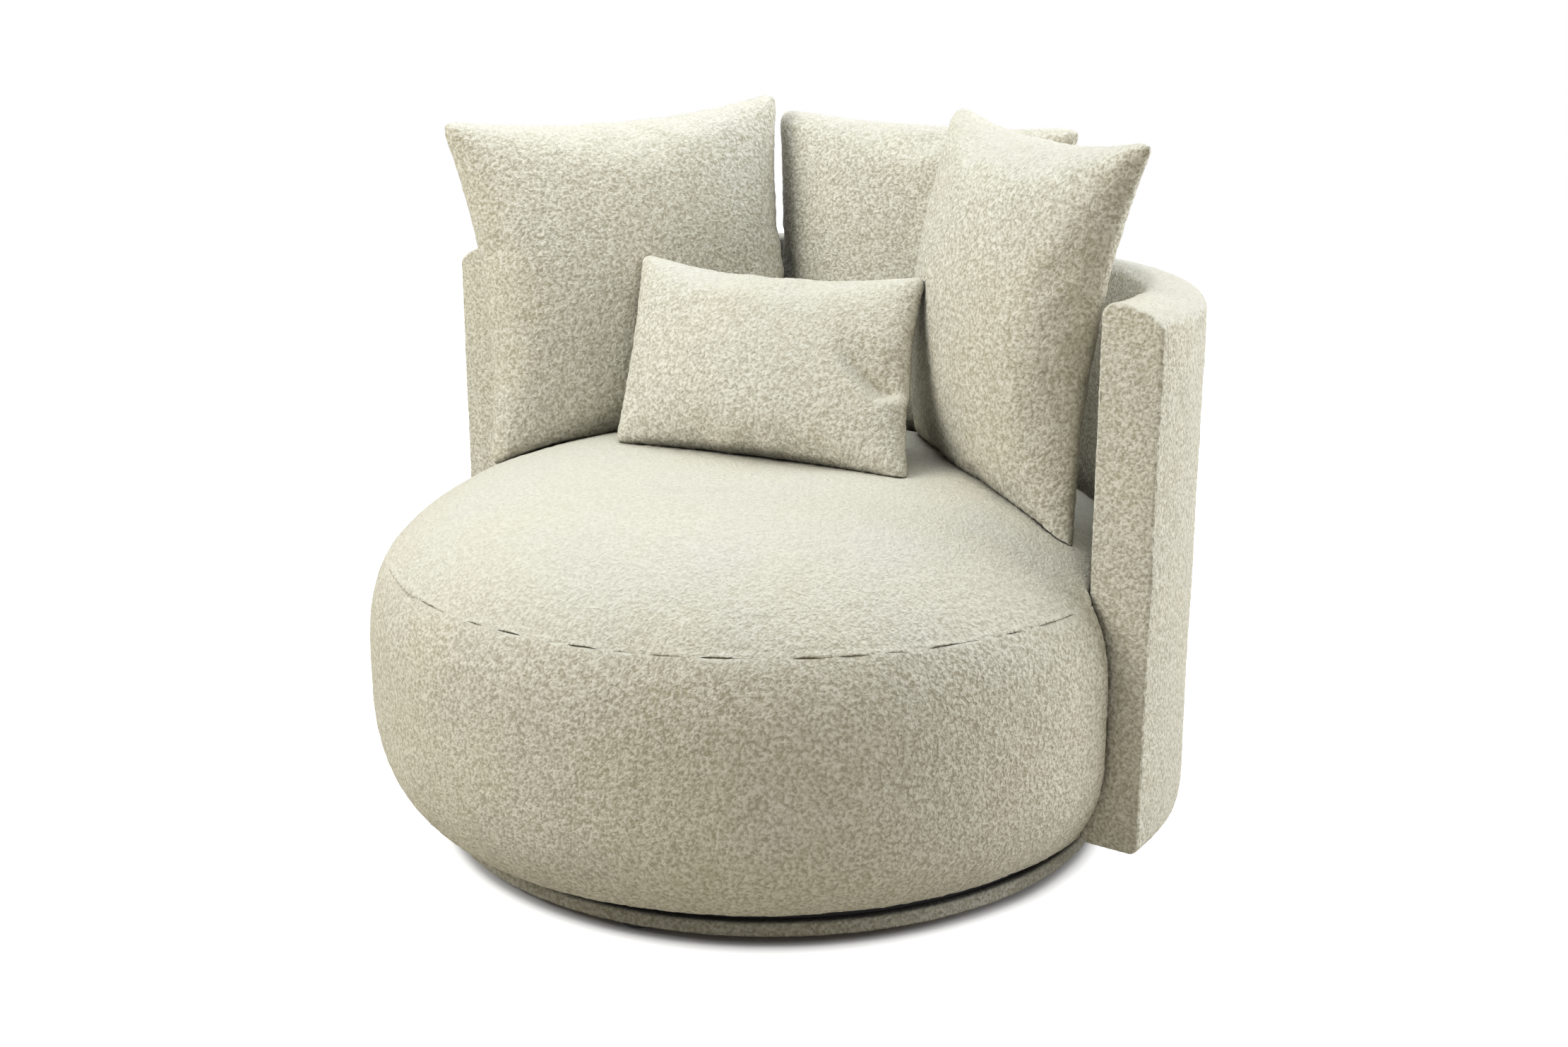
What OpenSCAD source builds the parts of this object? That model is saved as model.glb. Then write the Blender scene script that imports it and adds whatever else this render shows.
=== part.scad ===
// Swivel tub armchair: a round domed seat inside a half-round padded shell,
// turning on a ball bearing over a low round plinth, with four loose pillows.
// Millimetres, +Z up, +X to the right seen from the front, the front faces -Y.
// The origin is on the floor, on the swivel axis.

/* [Shell] */
// Outer radius of the half-round shell
shell_outer_r = 550; // [535:1:575]
// Thickness of the padded shell
shell_wall = 76; // [70:1:84]
// Height of the shell's lower edge above the floor
shell_bottom_z = 67; // [63:1:75]
// Height of the shell's top above the floor
shell_top_z = 712; // [680:1:740]
// Rounding of the shell's outer top edge
shell_outer_round = 22; // [12:1:30]
// Rounding of the shell's inner top edge
shell_inner_round = 18; // [10:1:26]
// Rounding of the shell's lower edges
shell_foot_round = 12; // [6:1:14]
// Thickness of the foam over the shell's frame
shell_pad = 10; // [8:1:12]
// Thickness of the foam behind each arm front
arm_pad = 14; // [10:1:18]
// Thickness of the bent plywood panels of the shell
shell_ply = 4; // [3:0.5:6]

/* [Seat] */
// Radius of the seat where it bulges most
seat_wide_r = 511; // [500:1:520]
// Height of the widest part of the seat
seat_wide_z = 215; // [190:1:240]
// Radius of the seat at its lower edge
seat_bottom_r = 463; // [455:1:470]
// Height of the seat's lower edge above the floor
seat_bottom_z = 60; // [60:1:64]
// Radius of the sewn seam between the side band and the top panel
seam_r = 484; // [478:1:490]
// Height of that seam above the floor
seam_z = 367; // [355:1:380]
// Rise of the domed top panel above the seam
seat_crown = 111; // [95:1:120]
// Height of the wooden seat frame's top above the floor
seat_frame_top_z = 322; // [300:1:330]
// Thickness of the bent plywood hoop round the seat frame
hoop_t = 6; // [4:1:8]
// Least thickness of the foam round the hoop
side_pad = 10; // [8:1:12]
// Number of zigzag springs under the seat
spring_count = 5; // [3:1:6]
// Distance between neighbouring springs
spring_spacing = 128; // [110:1:135]
// Thickness of the spring wire
spring_wire = 4; // [3:0.5:5]
// Half width of a spring's zigzag
spring_swing = 20; // [16:1:24]
// Thickness of the felt over the springs
felt_t = 4; // [3:1:6]

/* [Plinth] */
// Outer radius of the upholstered plinth
plinth_r = 431; // [420:1:440]
// Height of the plinth's top edge above the floor
plinth_top_z = 54; // [52:0.5:55]
// Height of the black floor glides
glide_h = 12; // [10:1:14]
// Radius of each glide
glide_r = 22; // [18:1:26]
// Number of glides
glide_count = 4; // [4:1:6]
// Direction of the first glide, in degrees from +X
glide_angle = -76; // [-90:1:-60]

/* [Swivel] */
// Radius of the swivel bearing's plates
bearing_plate_r = 156; // [153:1:170]
// Thickness of each plate
plate_t = 3; // [2.5:0.5:4]
// Radius of the circle on which the balls run
ball_circle_r = 120; // [112:1:122]
// Diameter of the bearing balls
ball_d = 10; // [9:0.5:10.5]
// Number of balls
ball_count = 18; // [12:1:24]
// Radius of the pivot bolt's shank
pivot_r = 6; // [5:0.5:7]
// Radial running clearance of the pivot bolt in its bush
pivot_clear = 0.05; // [0.02:0.01:0.08]
// Radius of the circle of screws that hold each plate
plate_screw_circle_r = 145; // [143:1:146]
// Number of screws in each plate
plate_screw_count = 6; // [4:1:8]

/* [Boards and fabric] */
// Thickness of the plywood boards
board_t = 18; // [16:1:18]
// Thickness of the boucle covers
cover_t = 3; // [2:0.5:4]
// Radial gap between the seat's covers and the shell's covers
tub_gap = 3; // [2:0.5:5]
// Gap between the seat's bulge and the arm fronts
arm_gap = 1; // [0.5:0.5:3]
// Gap kept between soft pieces
soft_gap = 0.3; // [0.2:0.1:0.5]
// Clearance of bolts and screws in their holes
hole_clear = 0.2; // [0.1:0.1:0.4]

/* [Pillows] */
// Width of the left pillow
left_w = 490; // [470:5:500]
// Height of the left pillow
left_h = 485; // [465:5:495]
// Thickness of the left pillow
left_t = 147; // [125:1:150]
// Width of the middle pillow
middle_w = 480; // [460:5:490]
// Height of the middle pillow
middle_h = 480; // [460:5:490]
// Thickness of the middle pillow
middle_t = 126; // [110:1:130]
// Width of the right pillow
right_w = 480; // [460:5:490]
// Height of the right pillow
right_h = 480; // [460:5:490]
// Thickness of the right pillow
right_t = 144; // [125:1:147]
// Width of the lumbar pillow
lumbar_w = 425; // [400:5:435]
// Height of the lumbar pillow
lumbar_h = 262; // [245:1:275]
// Thickness of the lumbar pillow
lumbar_t = 106; // [90:1:108]

/* [Hidden] */
$fn = 96;

boucle = "#d8d1c0";
plywood = "#c8a878";
foam = "#efe6c4";
steel = "#a9adb2";
black = "#1c1c1c";

// The seat and the shell share one centre. It lies forward of the swivel axis
// by half of what the shell's radius has over the seat's.
upper_y = -(shell_outer_r - seat_wide_r)/2;
shell_inner_r = shell_outer_r - shell_wall;
seat_rear_r = shell_inner_r - tub_gap;
crown_z = seam_z + seat_crown;

// Plinth and swivel, from the floor up
plinth_board_top = glide_h + board_t;
lower_plate_top = plinth_board_top + plate_t;
bearing_h = 21;
upper_plate_top = plinth_board_top + bearing_h;
upper_plate_bottom = upper_plate_top - plate_t;
ball_z = (lower_plate_top + upper_plate_bottom)/2;
ball_r = ball_d/2;
ball_clear = 0.1;
race_gap = 3;
race_half_w = 12;
cage_t = 1.4;
cage_half_w = 15;
plinth_hoop_t = 6;
plinth_hoop_r = plinth_r - cover_t;
plinth_board_r = plinth_hoop_r - plinth_hoop_t;
plinth_hoop_top = plinth_top_z - cover_t;
plinth_lip = 8;
glide_circle_r = plinth_r - glide_r - 4;
glide_screw_r = 2;
centre_hole_r = 24;
bush_wall = 3;
hub_wall = 7;
plate_screw_r = 2.5;
plate_bolt_r = 3;

// Heads of the screws and bolts, and how deep the screws bite
glide_screw_head_r = 4.5;
glide_screw_head_h = 2.5;
glide_screw_bite = 8;
glide_recess_r = 7;
plate_screw_head_r = 5;
plate_screw_head_h = 2.6;
plate_screw_bite = 14;
plate_bolt_head_r = 6;
plate_bolt_head_h = 3.5;
pivot_head_h = 7;
pivot_washer_wall = 9;
// Depth kept between a screw's tip and the end of its hole
tip_clear = 1;
// How far a head and its shank share each other
shank_lap = 1;
// Clearance of a thread drawn as a plain cylinder
thread_clear = 0.02;
// Length of a cutter that goes right through boards and plates
through_h = 200;

// Seat frame
base_board_top = seat_bottom_z + board_t;
hoop_r = min(seat_rear_r, seat_bottom_r) - cover_t - side_pad;
hoop_inner_r = hoop_r - hoop_t;
top_ring_inner_r = hoop_inner_r - 64;
top_ring_bottom = seat_frame_top_z - board_t;
post_w = 45;
post_depth = 48;
post_count = 8;
clip_t = 1.2;
clip_w = 14;
clip_len = 20;
spring_anchor_r = top_ring_inner_r + 20;
wire_z = seat_frame_top_z + clip_t + 0.1;
clip_top = wire_z + spring_wire + 0.1;
felt_z = clip_top + clip_t + soft_gap;
foam_z = felt_z + felt_t + soft_gap;
spring_pitch = 50;
wave_steps = 8;
spring_ramp = 30;

// Shell frame
shell_frame_in = shell_inner_r + cover_t + shell_pad;
shell_frame_out = shell_outer_r - cover_t - shell_pad/2;
shell_cavity_in = shell_frame_in + shell_ply;
shell_cavity_out = shell_frame_out - shell_ply;
shell_frame_top = shell_top_z - cover_t - 2*shell_pad;
shell_frame_bottom = shell_bottom_z + cover_t + 6;
arm_face_y = upper_y + arm_gap;
arm_board_y = arm_face_y + cover_t + arm_pad;
ring_start_y = arm_board_y + board_t;
shell_post_w = 40;
shell_post_angles = [30, 60, 90, 120, 150];
shell_bolt_angles = [30, 90, 150];
shell_bolt_heights = [130, 270];
shell_bolt_r = 4;
bolt_head_h = 5;
shell_nut_r = 6;
shell_nut_len = 18;
shell_bolt_end = shell_cavity_in + 24;
cloth_t = 1;
cloth_inset = 18;

// Section of the seat's side band: its radius at a height
low_exponent = 2.5;
top_exponent = 3.2;
function side_r(z) = z < seat_wide_z
  ? seat_wide_r - (seat_wide_r - seat_bottom_r)
    *pow((seat_wide_z - z)/(seat_wide_z - seat_bottom_z), low_exponent)
  : seat_wide_r - (seat_wide_r - seam_r)
    *pow((z - seat_wide_z)/(seam_z - seat_wide_z), top_exponent);
side_steps = 20;
side_heights =
  [for (i = [0:side_steps]) seat_bottom_z + (seam_z - seat_bottom_z)*i/side_steps];
function side_points(low, high, inset, limit) =
  [for (z = concat([low], [for (z = side_heights) if (z > low && z < high) z], [high]))
    [min(side_r(z), limit) - inset, z]];

// Section of the domed top panel: it flattens towards the middle
dome_exponent = 4.4;
dome_steps = 16;
function dome_z(r, inset) =
  seam_z + (seat_crown - inset)*(1 - pow(r/(seam_r - inset), dome_exponent));
function dome_points(inset, limit) =
  let (edge = min(limit, seam_r) - inset)
  [for (i = [0:dome_steps])
    let (r = i == dome_steps ? 0 : edge*cos(90*i/dome_steps))
    [r, dome_z(r, inset)]];
function reversed(list) = [for (i = [len(list) - 1:-1:0]) list[i]];
function arc(x, y, r, from, to, steps) =
  [for (i = [0:steps])
    let (a = from + (to - from)*i/steps)
    [x + r*cos(a), y + r*sin(a)]];

// Section of the shell's wall, moved in from its skin by an inset
function shell_section(inset) =
  let (
    low_r = max(shell_foot_round - inset, 1),
    in_r = max(shell_inner_round - inset, 1),
    out_r = max(shell_outer_round - inset, 1),
    x0 = shell_inner_r + inset,
    x1 = shell_outer_r - inset,
    z0 = shell_bottom_z + inset,
    z1 = shell_top_z - inset
  )
  concat(
    arc(x0 + low_r, z0 + low_r, low_r, 180, 270, 4),
    arc(x1 - low_r, z0 + low_r, low_r, 270, 360, 4),
    arc(x1 - out_r, z1 - out_r, out_r, 0, 90, 6),
    arc(x0 + in_r, z1 - in_r, in_r, 90, 180, 6)
  );

// Crown of a pillow: full in the middle, thin at the corners
crown_exponent = 0.55;
pillow_steps = 12;
pillow_pull = 0.05;
pillow_foot_pull = 0.09;
front_share = 0.57;
function grid(i) = sin(180*i/pillow_steps - 90);
function on_rim(i, j) = i == 0 || j == 0 || i == pillow_steps || j == pillow_steps;
function pillow_point(i, j, w, h, rise) =
  let (
    u = grid(i),
    v = grid(j),
    foot = v < 0 ? pillow_foot_pull : pillow_pull
  )
  [
    w/2*u*(1 - pillow_pull*(1 - v*v)),
    h/2*v*(1 - foot*(1 - u*u)),
    on_rim(i, j) ? 0 : rise*pow((1 - u*u)*(1 - v*v), crown_exponent)
  ];
function pillow_grid(w, h, rise) =
  [for (i = [0:pillow_steps]) for (j = [0:pillow_steps]) pillow_point(i, j, w, h, rise)];
row = pillow_steps + 1;
grid_size = row*row;
function index(i, j) = i*row + j;
function vertex(i, j, start, joined) =
  joined && on_rim(i, j) ? index(i, j) : start + index(i, j);
// Two triangles in each cell, split towards the nearest corner
function cell(i, j, start, joined) =
  let (
    a = vertex(i, j, start, joined),
    b = vertex(i + 1, j, start, joined),
    c = vertex(i + 1, j + 1, start, joined),
    d = vertex(i, j + 1, start, joined),
    even = (i < pillow_steps/2) == (j < pillow_steps/2)
  )
  even ? [[a, c, b], [a, d, c]] : [[a, d, b], [b, d, c]];
function skin(start, joined) =
  [for (i = [0:pillow_steps - 1]) for (j = [0:pillow_steps - 1])
    for (face = cell(i, j, start, joined)) face];
function flipped(faces) = [for (f = faces) [f[0], f[2], f[1]]];
// Rim of the grid, walked once round
rim = concat(
  [for (i = [0:pillow_steps - 1]) index(i, 0)],
  [for (j = [0:pillow_steps - 1]) index(pillow_steps, j)],
  [for (i = [pillow_steps:-1:1]) index(i, pillow_steps)],
  [for (j = [pillow_steps:-1:1]) index(0, j)]
);
function rim_strip(inner) =
  [for (k = [0:len(rim) - 1])
    let (a = rim[k], b = rim[(k + 1) % len(rim)])
    for (face = [[a, b, inner + b], [a, inner + b, inner + a]]) face];

// One half of a pillow's cover, a thin crowned shell that ends at the seam
module pillow_half(w, h, rise) {
  polyhedron(
    points = concat(
      pillow_grid(w, h, rise),
      pillow_grid(w - 2*cover_t, h - 2*cover_t, rise - cover_t)
    ),
    faces = concat(
      skin(0, false),
      flipped(skin(grid_size, false)),
      rim_strip(grid_size)
    )
  );
}

// The filled inner bag of a pillow, closed at its seam
module pillow_core(w, h, thickness) {
  drop = cover_t + soft_gap;
  front = thickness*front_share - drop;
  back = thickness*(1 - front_share) - drop;
  polyhedron(
    points = concat(
      pillow_grid(w - 2*drop, h - 2*drop, front),
      pillow_grid(w - 2*drop, h - 2*drop, -back)
    ),
    faces = concat(skin(0, false), flipped(skin(grid_size, true)))
  );
}
module pillow_front(w, h, thickness) {
  color(boucle)
    pillow_half(w, h, thickness*front_share);
}
module pillow_back(w, h, thickness) {
  color(boucle)
    mirror([0, 0, 1])
      pillow_half(w, h, thickness*(1 - front_share));
}
module pillow_fill(w, h, thickness) {
  color("white")
    pillow_core(w, h, thickness);
}

// Where each pillow leans: its turn, lean and roll in degrees, its direction
// from the seat's centre, its distance from the shell and how far it sinks
left_turn = [57.7, 11.5, 3.2];
left_angle = 158.3;
left_back = 111.3;
left_sink = 37.7;
middle_turn = [0.9, 2.3, -1.4];
middle_angle = 93.6;
middle_back = 86.7;
middle_sink = 55.2;
right_turn = [-34.2, 5.2, -4.2];
right_angle = 32.9;
right_back = 149.5;
right_sink = 33.2;
lumbar_turn = [10.3, 23.2, 0.5];
lumbar_angle = 121;
lumbar_back = 384.6;
lumbar_sink = 3;
module lean_pillow(turn, angle, back, h, sink) {
  reach = shell_inner_r - back;
  height = crown_z + h/2*cos(turn[1]) - sink;
  translate([reach*cos(angle), upper_y + reach*sin(angle), height])
    rotate([0, 0, turn[0]])
      rotate([90 - turn[1], 0, 0])
        rotate([0, 0, turn[2]])
          children();
}
module left_place() {
  lean_pillow(left_turn, left_angle, left_back, left_h, left_sink)
    children();
}
module middle_place() {
  lean_pillow(middle_turn, middle_angle, middle_back, middle_h, middle_sink)
    children();
}
module right_place() {
  lean_pillow(right_turn, right_angle, right_back, right_h, right_sink)
    children();
}
module lumbar_place() {
  lean_pillow(lumbar_turn, lumbar_angle, lumbar_back, lumbar_h, lumbar_sink)
    children();
}

module around(count, radius, start = 0) {
  for (k = [0:count - 1])
    rotate([0, 0, start + 360*k/count])
      translate([radius, 0, 0])
        children();
}
module ring(outer, inner, low, high) {
  translate([0, 0, low])
    difference() {
      cylinder(r = outer, h = high - low);
      translate([0, 0, -1])
        cylinder(r = inner, h = high - low + 2);
    }
}
module at_upper() {
  translate([0, upper_y, 0])
    children();
}
// A section turned through the front half and another through the rear half
module front_and_rear(front, rear) {
  at_upper() {
    rotate([0, 0, 180])
      rotate_extrude(angle = 180)
        polygon(front);
    rotate_extrude(angle = 180)
      polygon(rear);
  }
}
// What lies behind a plane across the shell
module behind(y) {
  reach = shell_outer_r + shell_wall;
  intersection() {
    children();
    translate([-reach, y, 0])
      cube([2*reach, reach, shell_top_z + shell_wall]);
  }
}
// Bores for the bolts that join the shell to the seat frame
module shell_bores(radius, from, to) {
  at_upper()
    for (angle = shell_bolt_angles)
      for (height = shell_bolt_heights)
        translate([0, 0, height])
          rotate([0, 0, angle])
            rotate([0, 90, 0])
              translate([0, 0, from])
                cylinder(r = radius, h = to - from, $fn = 32);
}
bolt_hole_r = shell_bolt_r + hole_clear;

// Black glides, tapered and screwed up into the plinth
glide_recess_top = 2 + glide_screw_head_h;
module floor_glides() {
  color(black)
    around(glide_count, glide_circle_r, glide_angle)
      rotate_extrude()
        polygon([
          [glide_screw_r + hole_clear, glide_recess_top], [glide_recess_r, glide_recess_top],
          [glide_recess_r, 0], [glide_r - 5, 0], [glide_r - 1, 3], [glide_r, glide_h],
          [glide_screw_r + hole_clear, glide_h]
        ]);
}
glide_screw_top = glide_h + glide_screw_bite;
module glide_screws() {
  color(steel)
    around(glide_count, glide_circle_r, glide_angle)
      union() {
        translate([0, 0, glide_recess_top - glide_screw_head_h])
          cylinder(r = glide_screw_head_r, h = glide_screw_head_h, $fn = 32);
        translate([0, 0, glide_recess_top - shank_lap])
          cylinder(r = glide_screw_r, h = glide_screw_top - glide_recess_top + shank_lap, $fn = 32);
      }
}

// Round plywood board of the plinth, pocketed for the pivot bolt's head
module plinth_board() {
  color(plywood)
    difference() {
      translate([0, 0, glide_h])
        cylinder(r = plinth_board_r, h = board_t);
      translate([0, 0, glide_h - tip_clear])
        cylinder(r = 2*pivot_r, h = pivot_head_top - glide_h + tip_clear);
      cylinder(r = pivot_r + hole_clear, h = through_h);
      around(glide_count, glide_circle_r, glide_angle)
        cylinder(r = glide_screw_r + thread_clear, h = glide_screw_top + tip_clear, $fn = 32);
      around(plate_screw_count, plate_screw_circle_r)
        translate([0, 0, plinth_board_top - plate_screw_bite - tip_clear])
          cylinder(r = plate_screw_r + thread_clear, h = through_h, $fn = 32);
    }
}
// Bent plywood hoop round the plinth board
module plinth_hoop() {
  color(plywood)
    ring(plinth_hoop_r, plinth_board_r, glide_h, plinth_hoop_top);
}
// Boucle band round the plinth, turned in over the hoop and under the board
module plinth_cover() {
  inner = plinth_hoop_r;
  color(boucle)
    difference() {
      rotate_extrude()
        polygon([
          [inner, glide_h], [plinth_board_r - 1, glide_h], [plinth_board_r - 1, glide_h - 2],
          [plinth_r - 1.5, glide_h - 2], [plinth_r, glide_h], [plinth_r, plinth_top_z - 2],
          [plinth_r - 2, plinth_top_z], [plinth_r - plinth_lip, plinth_top_z],
          [plinth_r - plinth_lip, plinth_hoop_top], [inner, plinth_hoop_top]
        ]);
      around(glide_count, glide_circle_r, glide_angle)
        translate([0, 0, -1])
          cylinder(r = glide_r + 0.5, h = glide_h + 1);
    }
}

module ball_groove() {
  translate([0, 0, ball_z])
    rotate_extrude()
      translate([ball_circle_r, 0])
        circle(r = ball_r + ball_clear, $fn = 48);
}
// Steel plate with the lower ball race
module lower_bearing_plate() {
  color(steel)
    difference() {
      union() {
        translate([0, 0, plinth_board_top])
          cylinder(r = bearing_plate_r, h = plate_t);
        ring(ball_circle_r + race_half_w, ball_circle_r - race_half_w,
          plinth_board_top + 1, ball_z - race_gap/2);
      }
      ball_groove();
      cylinder(r = pivot_r + hole_clear, h = through_h);
      around(plate_screw_count, plate_screw_circle_r)
        cylinder(r = plate_screw_r + hole_clear, h = through_h, $fn = 32);
    }
}
module lower_plate_screws() {
  color(steel)
    around(plate_screw_count, plate_screw_circle_r) {
      translate([0, 0, lower_plate_top])
        cylinder(r = plate_screw_head_r, h = plate_screw_head_h, $fn = 32);
      translate([0, 0, plinth_board_top - plate_screw_bite])
        cylinder(r = plate_screw_r, h = plate_screw_bite + plate_t + shank_lap, $fn = 32);
    }
}
// Pivot bolt up through the plinth board and the bearing
pivot_head_top = glide_h + 8;
pivot_nut_bottom = upper_plate_top + 2.8;
pivot_nut_h = 10;
module pivot_bolt() {
  color(steel) {
    translate([0, 0, pivot_head_top - pivot_head_h])
      cylinder(r = 1.6*pivot_r, h = pivot_head_h, $fn = 6);
    translate([0, 0, pivot_head_top - shank_lap])
      cylinder(r = pivot_r, h = pivot_nut_bottom + pivot_nut_h + 3 - pivot_head_top);
  }
}
module pivot_washer() {
  color(steel)
    ring(pivot_r + pivot_washer_wall, pivot_r + hole_clear,
      upper_plate_top + soft_gap, pivot_nut_bottom);
}
module pivot_nut() {
  color(steel)
    difference() {
      translate([0, 0, pivot_nut_bottom])
        cylinder(r = 1.7*pivot_r, h = pivot_nut_h, $fn = 6);
      cylinder(r = pivot_r + thread_clear, h = through_h);
    }
}

// Flat steel cage that keeps the balls apart
module ball_cage() {
  color("#8f9398")
    difference() {
      ring(ball_circle_r + cage_half_w, ball_circle_r - cage_half_w,
        ball_z - cage_t/2, ball_z + cage_t/2);
      around(ball_count, ball_circle_r)
        translate([0, 0, ball_z - 5])
          cylinder(r = ball_r + 0.15, h = 10, $fn = 32);
    }
}
module bearing_balls() {
  color("#c9ccd0")
    around(ball_count, ball_circle_r)
      translate([0, 0, ball_z])
        sphere(r = ball_r, $fn = 48);
}

// Steel plate with the upper ball race and the hub for the bush
module upper_bearing_plate() {
  color(steel)
    difference() {
      union() {
        translate([0, 0, upper_plate_bottom])
          cylinder(r = bearing_plate_r, h = plate_t);
        ring(ball_circle_r + race_half_w, ball_circle_r - race_half_w,
          ball_z + race_gap/2, upper_plate_top - 1);
        translate([0, 0, upper_plate_top - hub_wall])
          cylinder(r = pivot_r + bush_wall + hub_wall, h = hub_wall - 1);
      }
      ball_groove();
      cylinder(r = pivot_r + bush_wall, h = through_h);
      around(plate_screw_count, plate_screw_circle_r)
        cylinder(r = plate_bolt_r + hole_clear, h = through_h, $fn = 32);
    }
}
module pivot_bush() {
  color("#b08a4a")
    ring(pivot_r + bush_wall, pivot_r + pivot_clear,
      upper_plate_top - hub_wall, upper_plate_top);
}
module upper_plate_bolts() {
  color(steel)
    around(plate_screw_count, plate_screw_circle_r) {
      translate([0, 0, upper_plate_bottom - plate_bolt_head_h])
        cylinder(r = plate_bolt_head_r, h = plate_bolt_head_h, $fn = 32);
      translate([0, 0, upper_plate_bottom - shank_lap])
        cylinder(r = plate_bolt_r, h = base_board_top + 3 - upper_plate_bottom, $fn = 32);
    }
}
// Tee nuts on top of the seat's base board
tee_nut_r = 5;
tee_nut_len = 10;
tee_flange_r = 9;
tee_flange_h = 1.5;
module upper_plate_nuts() {
  color(steel)
    around(plate_screw_count, plate_screw_circle_r)
      difference() {
        union() {
          translate([0, 0, base_board_top])
            cylinder(r = tee_flange_r, h = tee_flange_h, $fn = 32);
          translate([0, 0, base_board_top - tee_nut_len])
            cylinder(r = tee_nut_r, h = tee_nut_len + tee_flange_h, $fn = 32);
        }
        cylinder(r = plate_bolt_r + thread_clear, h = through_h, $fn = 32);
      }
}

module plate_bolt_holes() {
  around(plate_screw_count, plate_screw_circle_r) {
    cylinder(r = plate_bolt_r + hole_clear, h = through_h, $fn = 32);
    translate([0, 0, base_board_top - tee_nut_len - tip_clear])
      cylinder(r = tee_nut_r + thread_clear, h = through_h, $fn = 32);
  }
}
// Plywood disc between the bearing and the seat
module spacer_board() {
  color(plywood)
    difference() {
      ring(bearing_plate_r + 14, centre_hole_r, upper_plate_top, seat_bottom_z);
      plate_bolt_holes();
    }
}
module seat_base_board() {
  color(plywood)
    difference() {
      translate([0, upper_y, seat_bottom_z])
        cylinder(r = hoop_r, h = board_t);
      cylinder(r = centre_hole_r, h = through_h);
      plate_bolt_holes();
    }
}
// Black cloth under the seat's base board
module dust_cover() {
  color(black)
    difference() {
      translate([0, upper_y, seat_bottom_z - cloth_t])
        cylinder(r = hoop_r - 4, h = cloth_t);
      cylinder(r = bearing_plate_r + 15, h = through_h);
    }
}
module seat_frame_hoop() {
  color(plywood)
    difference() {
      at_upper()
        ring(hoop_r, hoop_inner_r, base_board_top, seat_frame_top_z);
      shell_bores(bolt_hole_r, hoop_inner_r - 20, hoop_r + 20);
    }
}
module seat_posts() {
  color(plywood)
    at_upper()
      around(post_count, 0, 180/post_count)
        intersection() {
          translate([hoop_inner_r - post_depth, -post_w/2, base_board_top])
            cube([post_depth + 10, post_w, top_ring_bottom - base_board_top]);
          cylinder(r = hoop_inner_r, h = seat_frame_top_z);
        }
}
module seat_top_ring() {
  color(plywood)
    at_upper()
      ring(hoop_inner_r, top_ring_inner_r, top_ring_bottom, seat_frame_top_z);
}

// Zigzag springs, front to back across the ring
function spring_x(k) = (k - (spring_count - 1)/2)*spring_spacing;
function half_span(x) = sqrt(pow(spring_anchor_r, 2) - x*x);
function waves(span) = round(2*span/spring_pitch);
function wave(y, span) =
  spring_swing*min(1, (span - abs(y))/spring_ramp)*sin(360*waves(span)*(y + span)/(2*span));
function wave_side(y, span, side) =
  let (
    slope = (wave(min(y + 0.1, span), span) - wave(max(y - 0.1, -span), span))/0.2,
    long = sqrt(1 + slope*slope)
  )
  [wave(y, span) + side*spring_wire/2/long, y - side*spring_wire/2*slope/long];
module seat_springs() {
  color(steel)
    at_upper()
      for (k = [0:spring_count - 1]) {
        span = half_span(spring_x(k));
        n = wave_steps*waves(span);
        places = [for (i = [1:n - 1]) -span + 2*span*i/n];
        half = spring_wire/2;
        translate([spring_x(k), 0, wire_z])
          linear_extrude(height = spring_wire)
            polygon(concat(
              [[half, -span - 8]],
              [for (y = places) wave_side(y, span, 1)],
              [[half, span + 8], [-half, span + 8]],
              [for (y = reversed(places)) wave_side(y, span, -1)],
              [[-half, -span - 8]]
            ));
      }
}
// Folded steel clips that hold the springs' ends to the ring
module spring_clip() {
  translate([clip_w/2, 0, 0])
    rotate([0, -90, 0])
      linear_extrude(height = clip_w)
        polygon([
          [seat_frame_top_z, 0], [seat_frame_top_z, clip_len],
          [clip_top + clip_t, clip_len], [clip_top + clip_t, 0],
          [clip_top, 0], [clip_top, clip_len - clip_t],
          [seat_frame_top_z + clip_t, clip_len - clip_t], [seat_frame_top_z + clip_t, 0]
        ]);
}
module spring_clips() {
  color(steel)
    at_upper()
      for (k = [0:spring_count - 1])
        for (side = [0, 1])
          translate([spring_x(k), 0, 0])
            mirror([0, side, 0])
              translate([0, half_span(spring_x(k)) - 4, 0])
                spring_clip();
}
module spring_felt() {
  color("#8d8a84")
    translate([0, upper_y, felt_z])
      cylinder(r = hoop_r, h = felt_t);
}

// Domed foam block over the springs
foam_inset = cover_t + soft_gap;
function foam_section(limit) = concat(
  [[0, foam_z]],
  side_points(foam_z, seam_z - 1, foam_inset, limit),
  limit < seam_r ? [[limit - foam_inset, seam_z]] : [],
  dome_points(foam_inset, limit)
);
module seat_foam() {
  color(foam)
    front_and_rear(foam_section(seat_wide_r), foam_section(seat_rear_r));
}
// Foam wrapped round the hoop, full at the front and thin inside the shell
function side_foam_section(limit) = concat(
  [[hoop_r + soft_gap, seat_bottom_z + soft_gap]],
  side_points(seat_bottom_z + soft_gap, foam_z - soft_gap, foam_inset, limit),
  [[hoop_r + soft_gap, foam_z - soft_gap]]
);
module side_foam() {
  color(foam)
    difference() {
      front_and_rear(side_foam_section(seat_wide_r), side_foam_section(seat_rear_r));
      shell_bores(bolt_hole_r, hoop_r - 20, shell_inner_r);
    }
}
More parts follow.
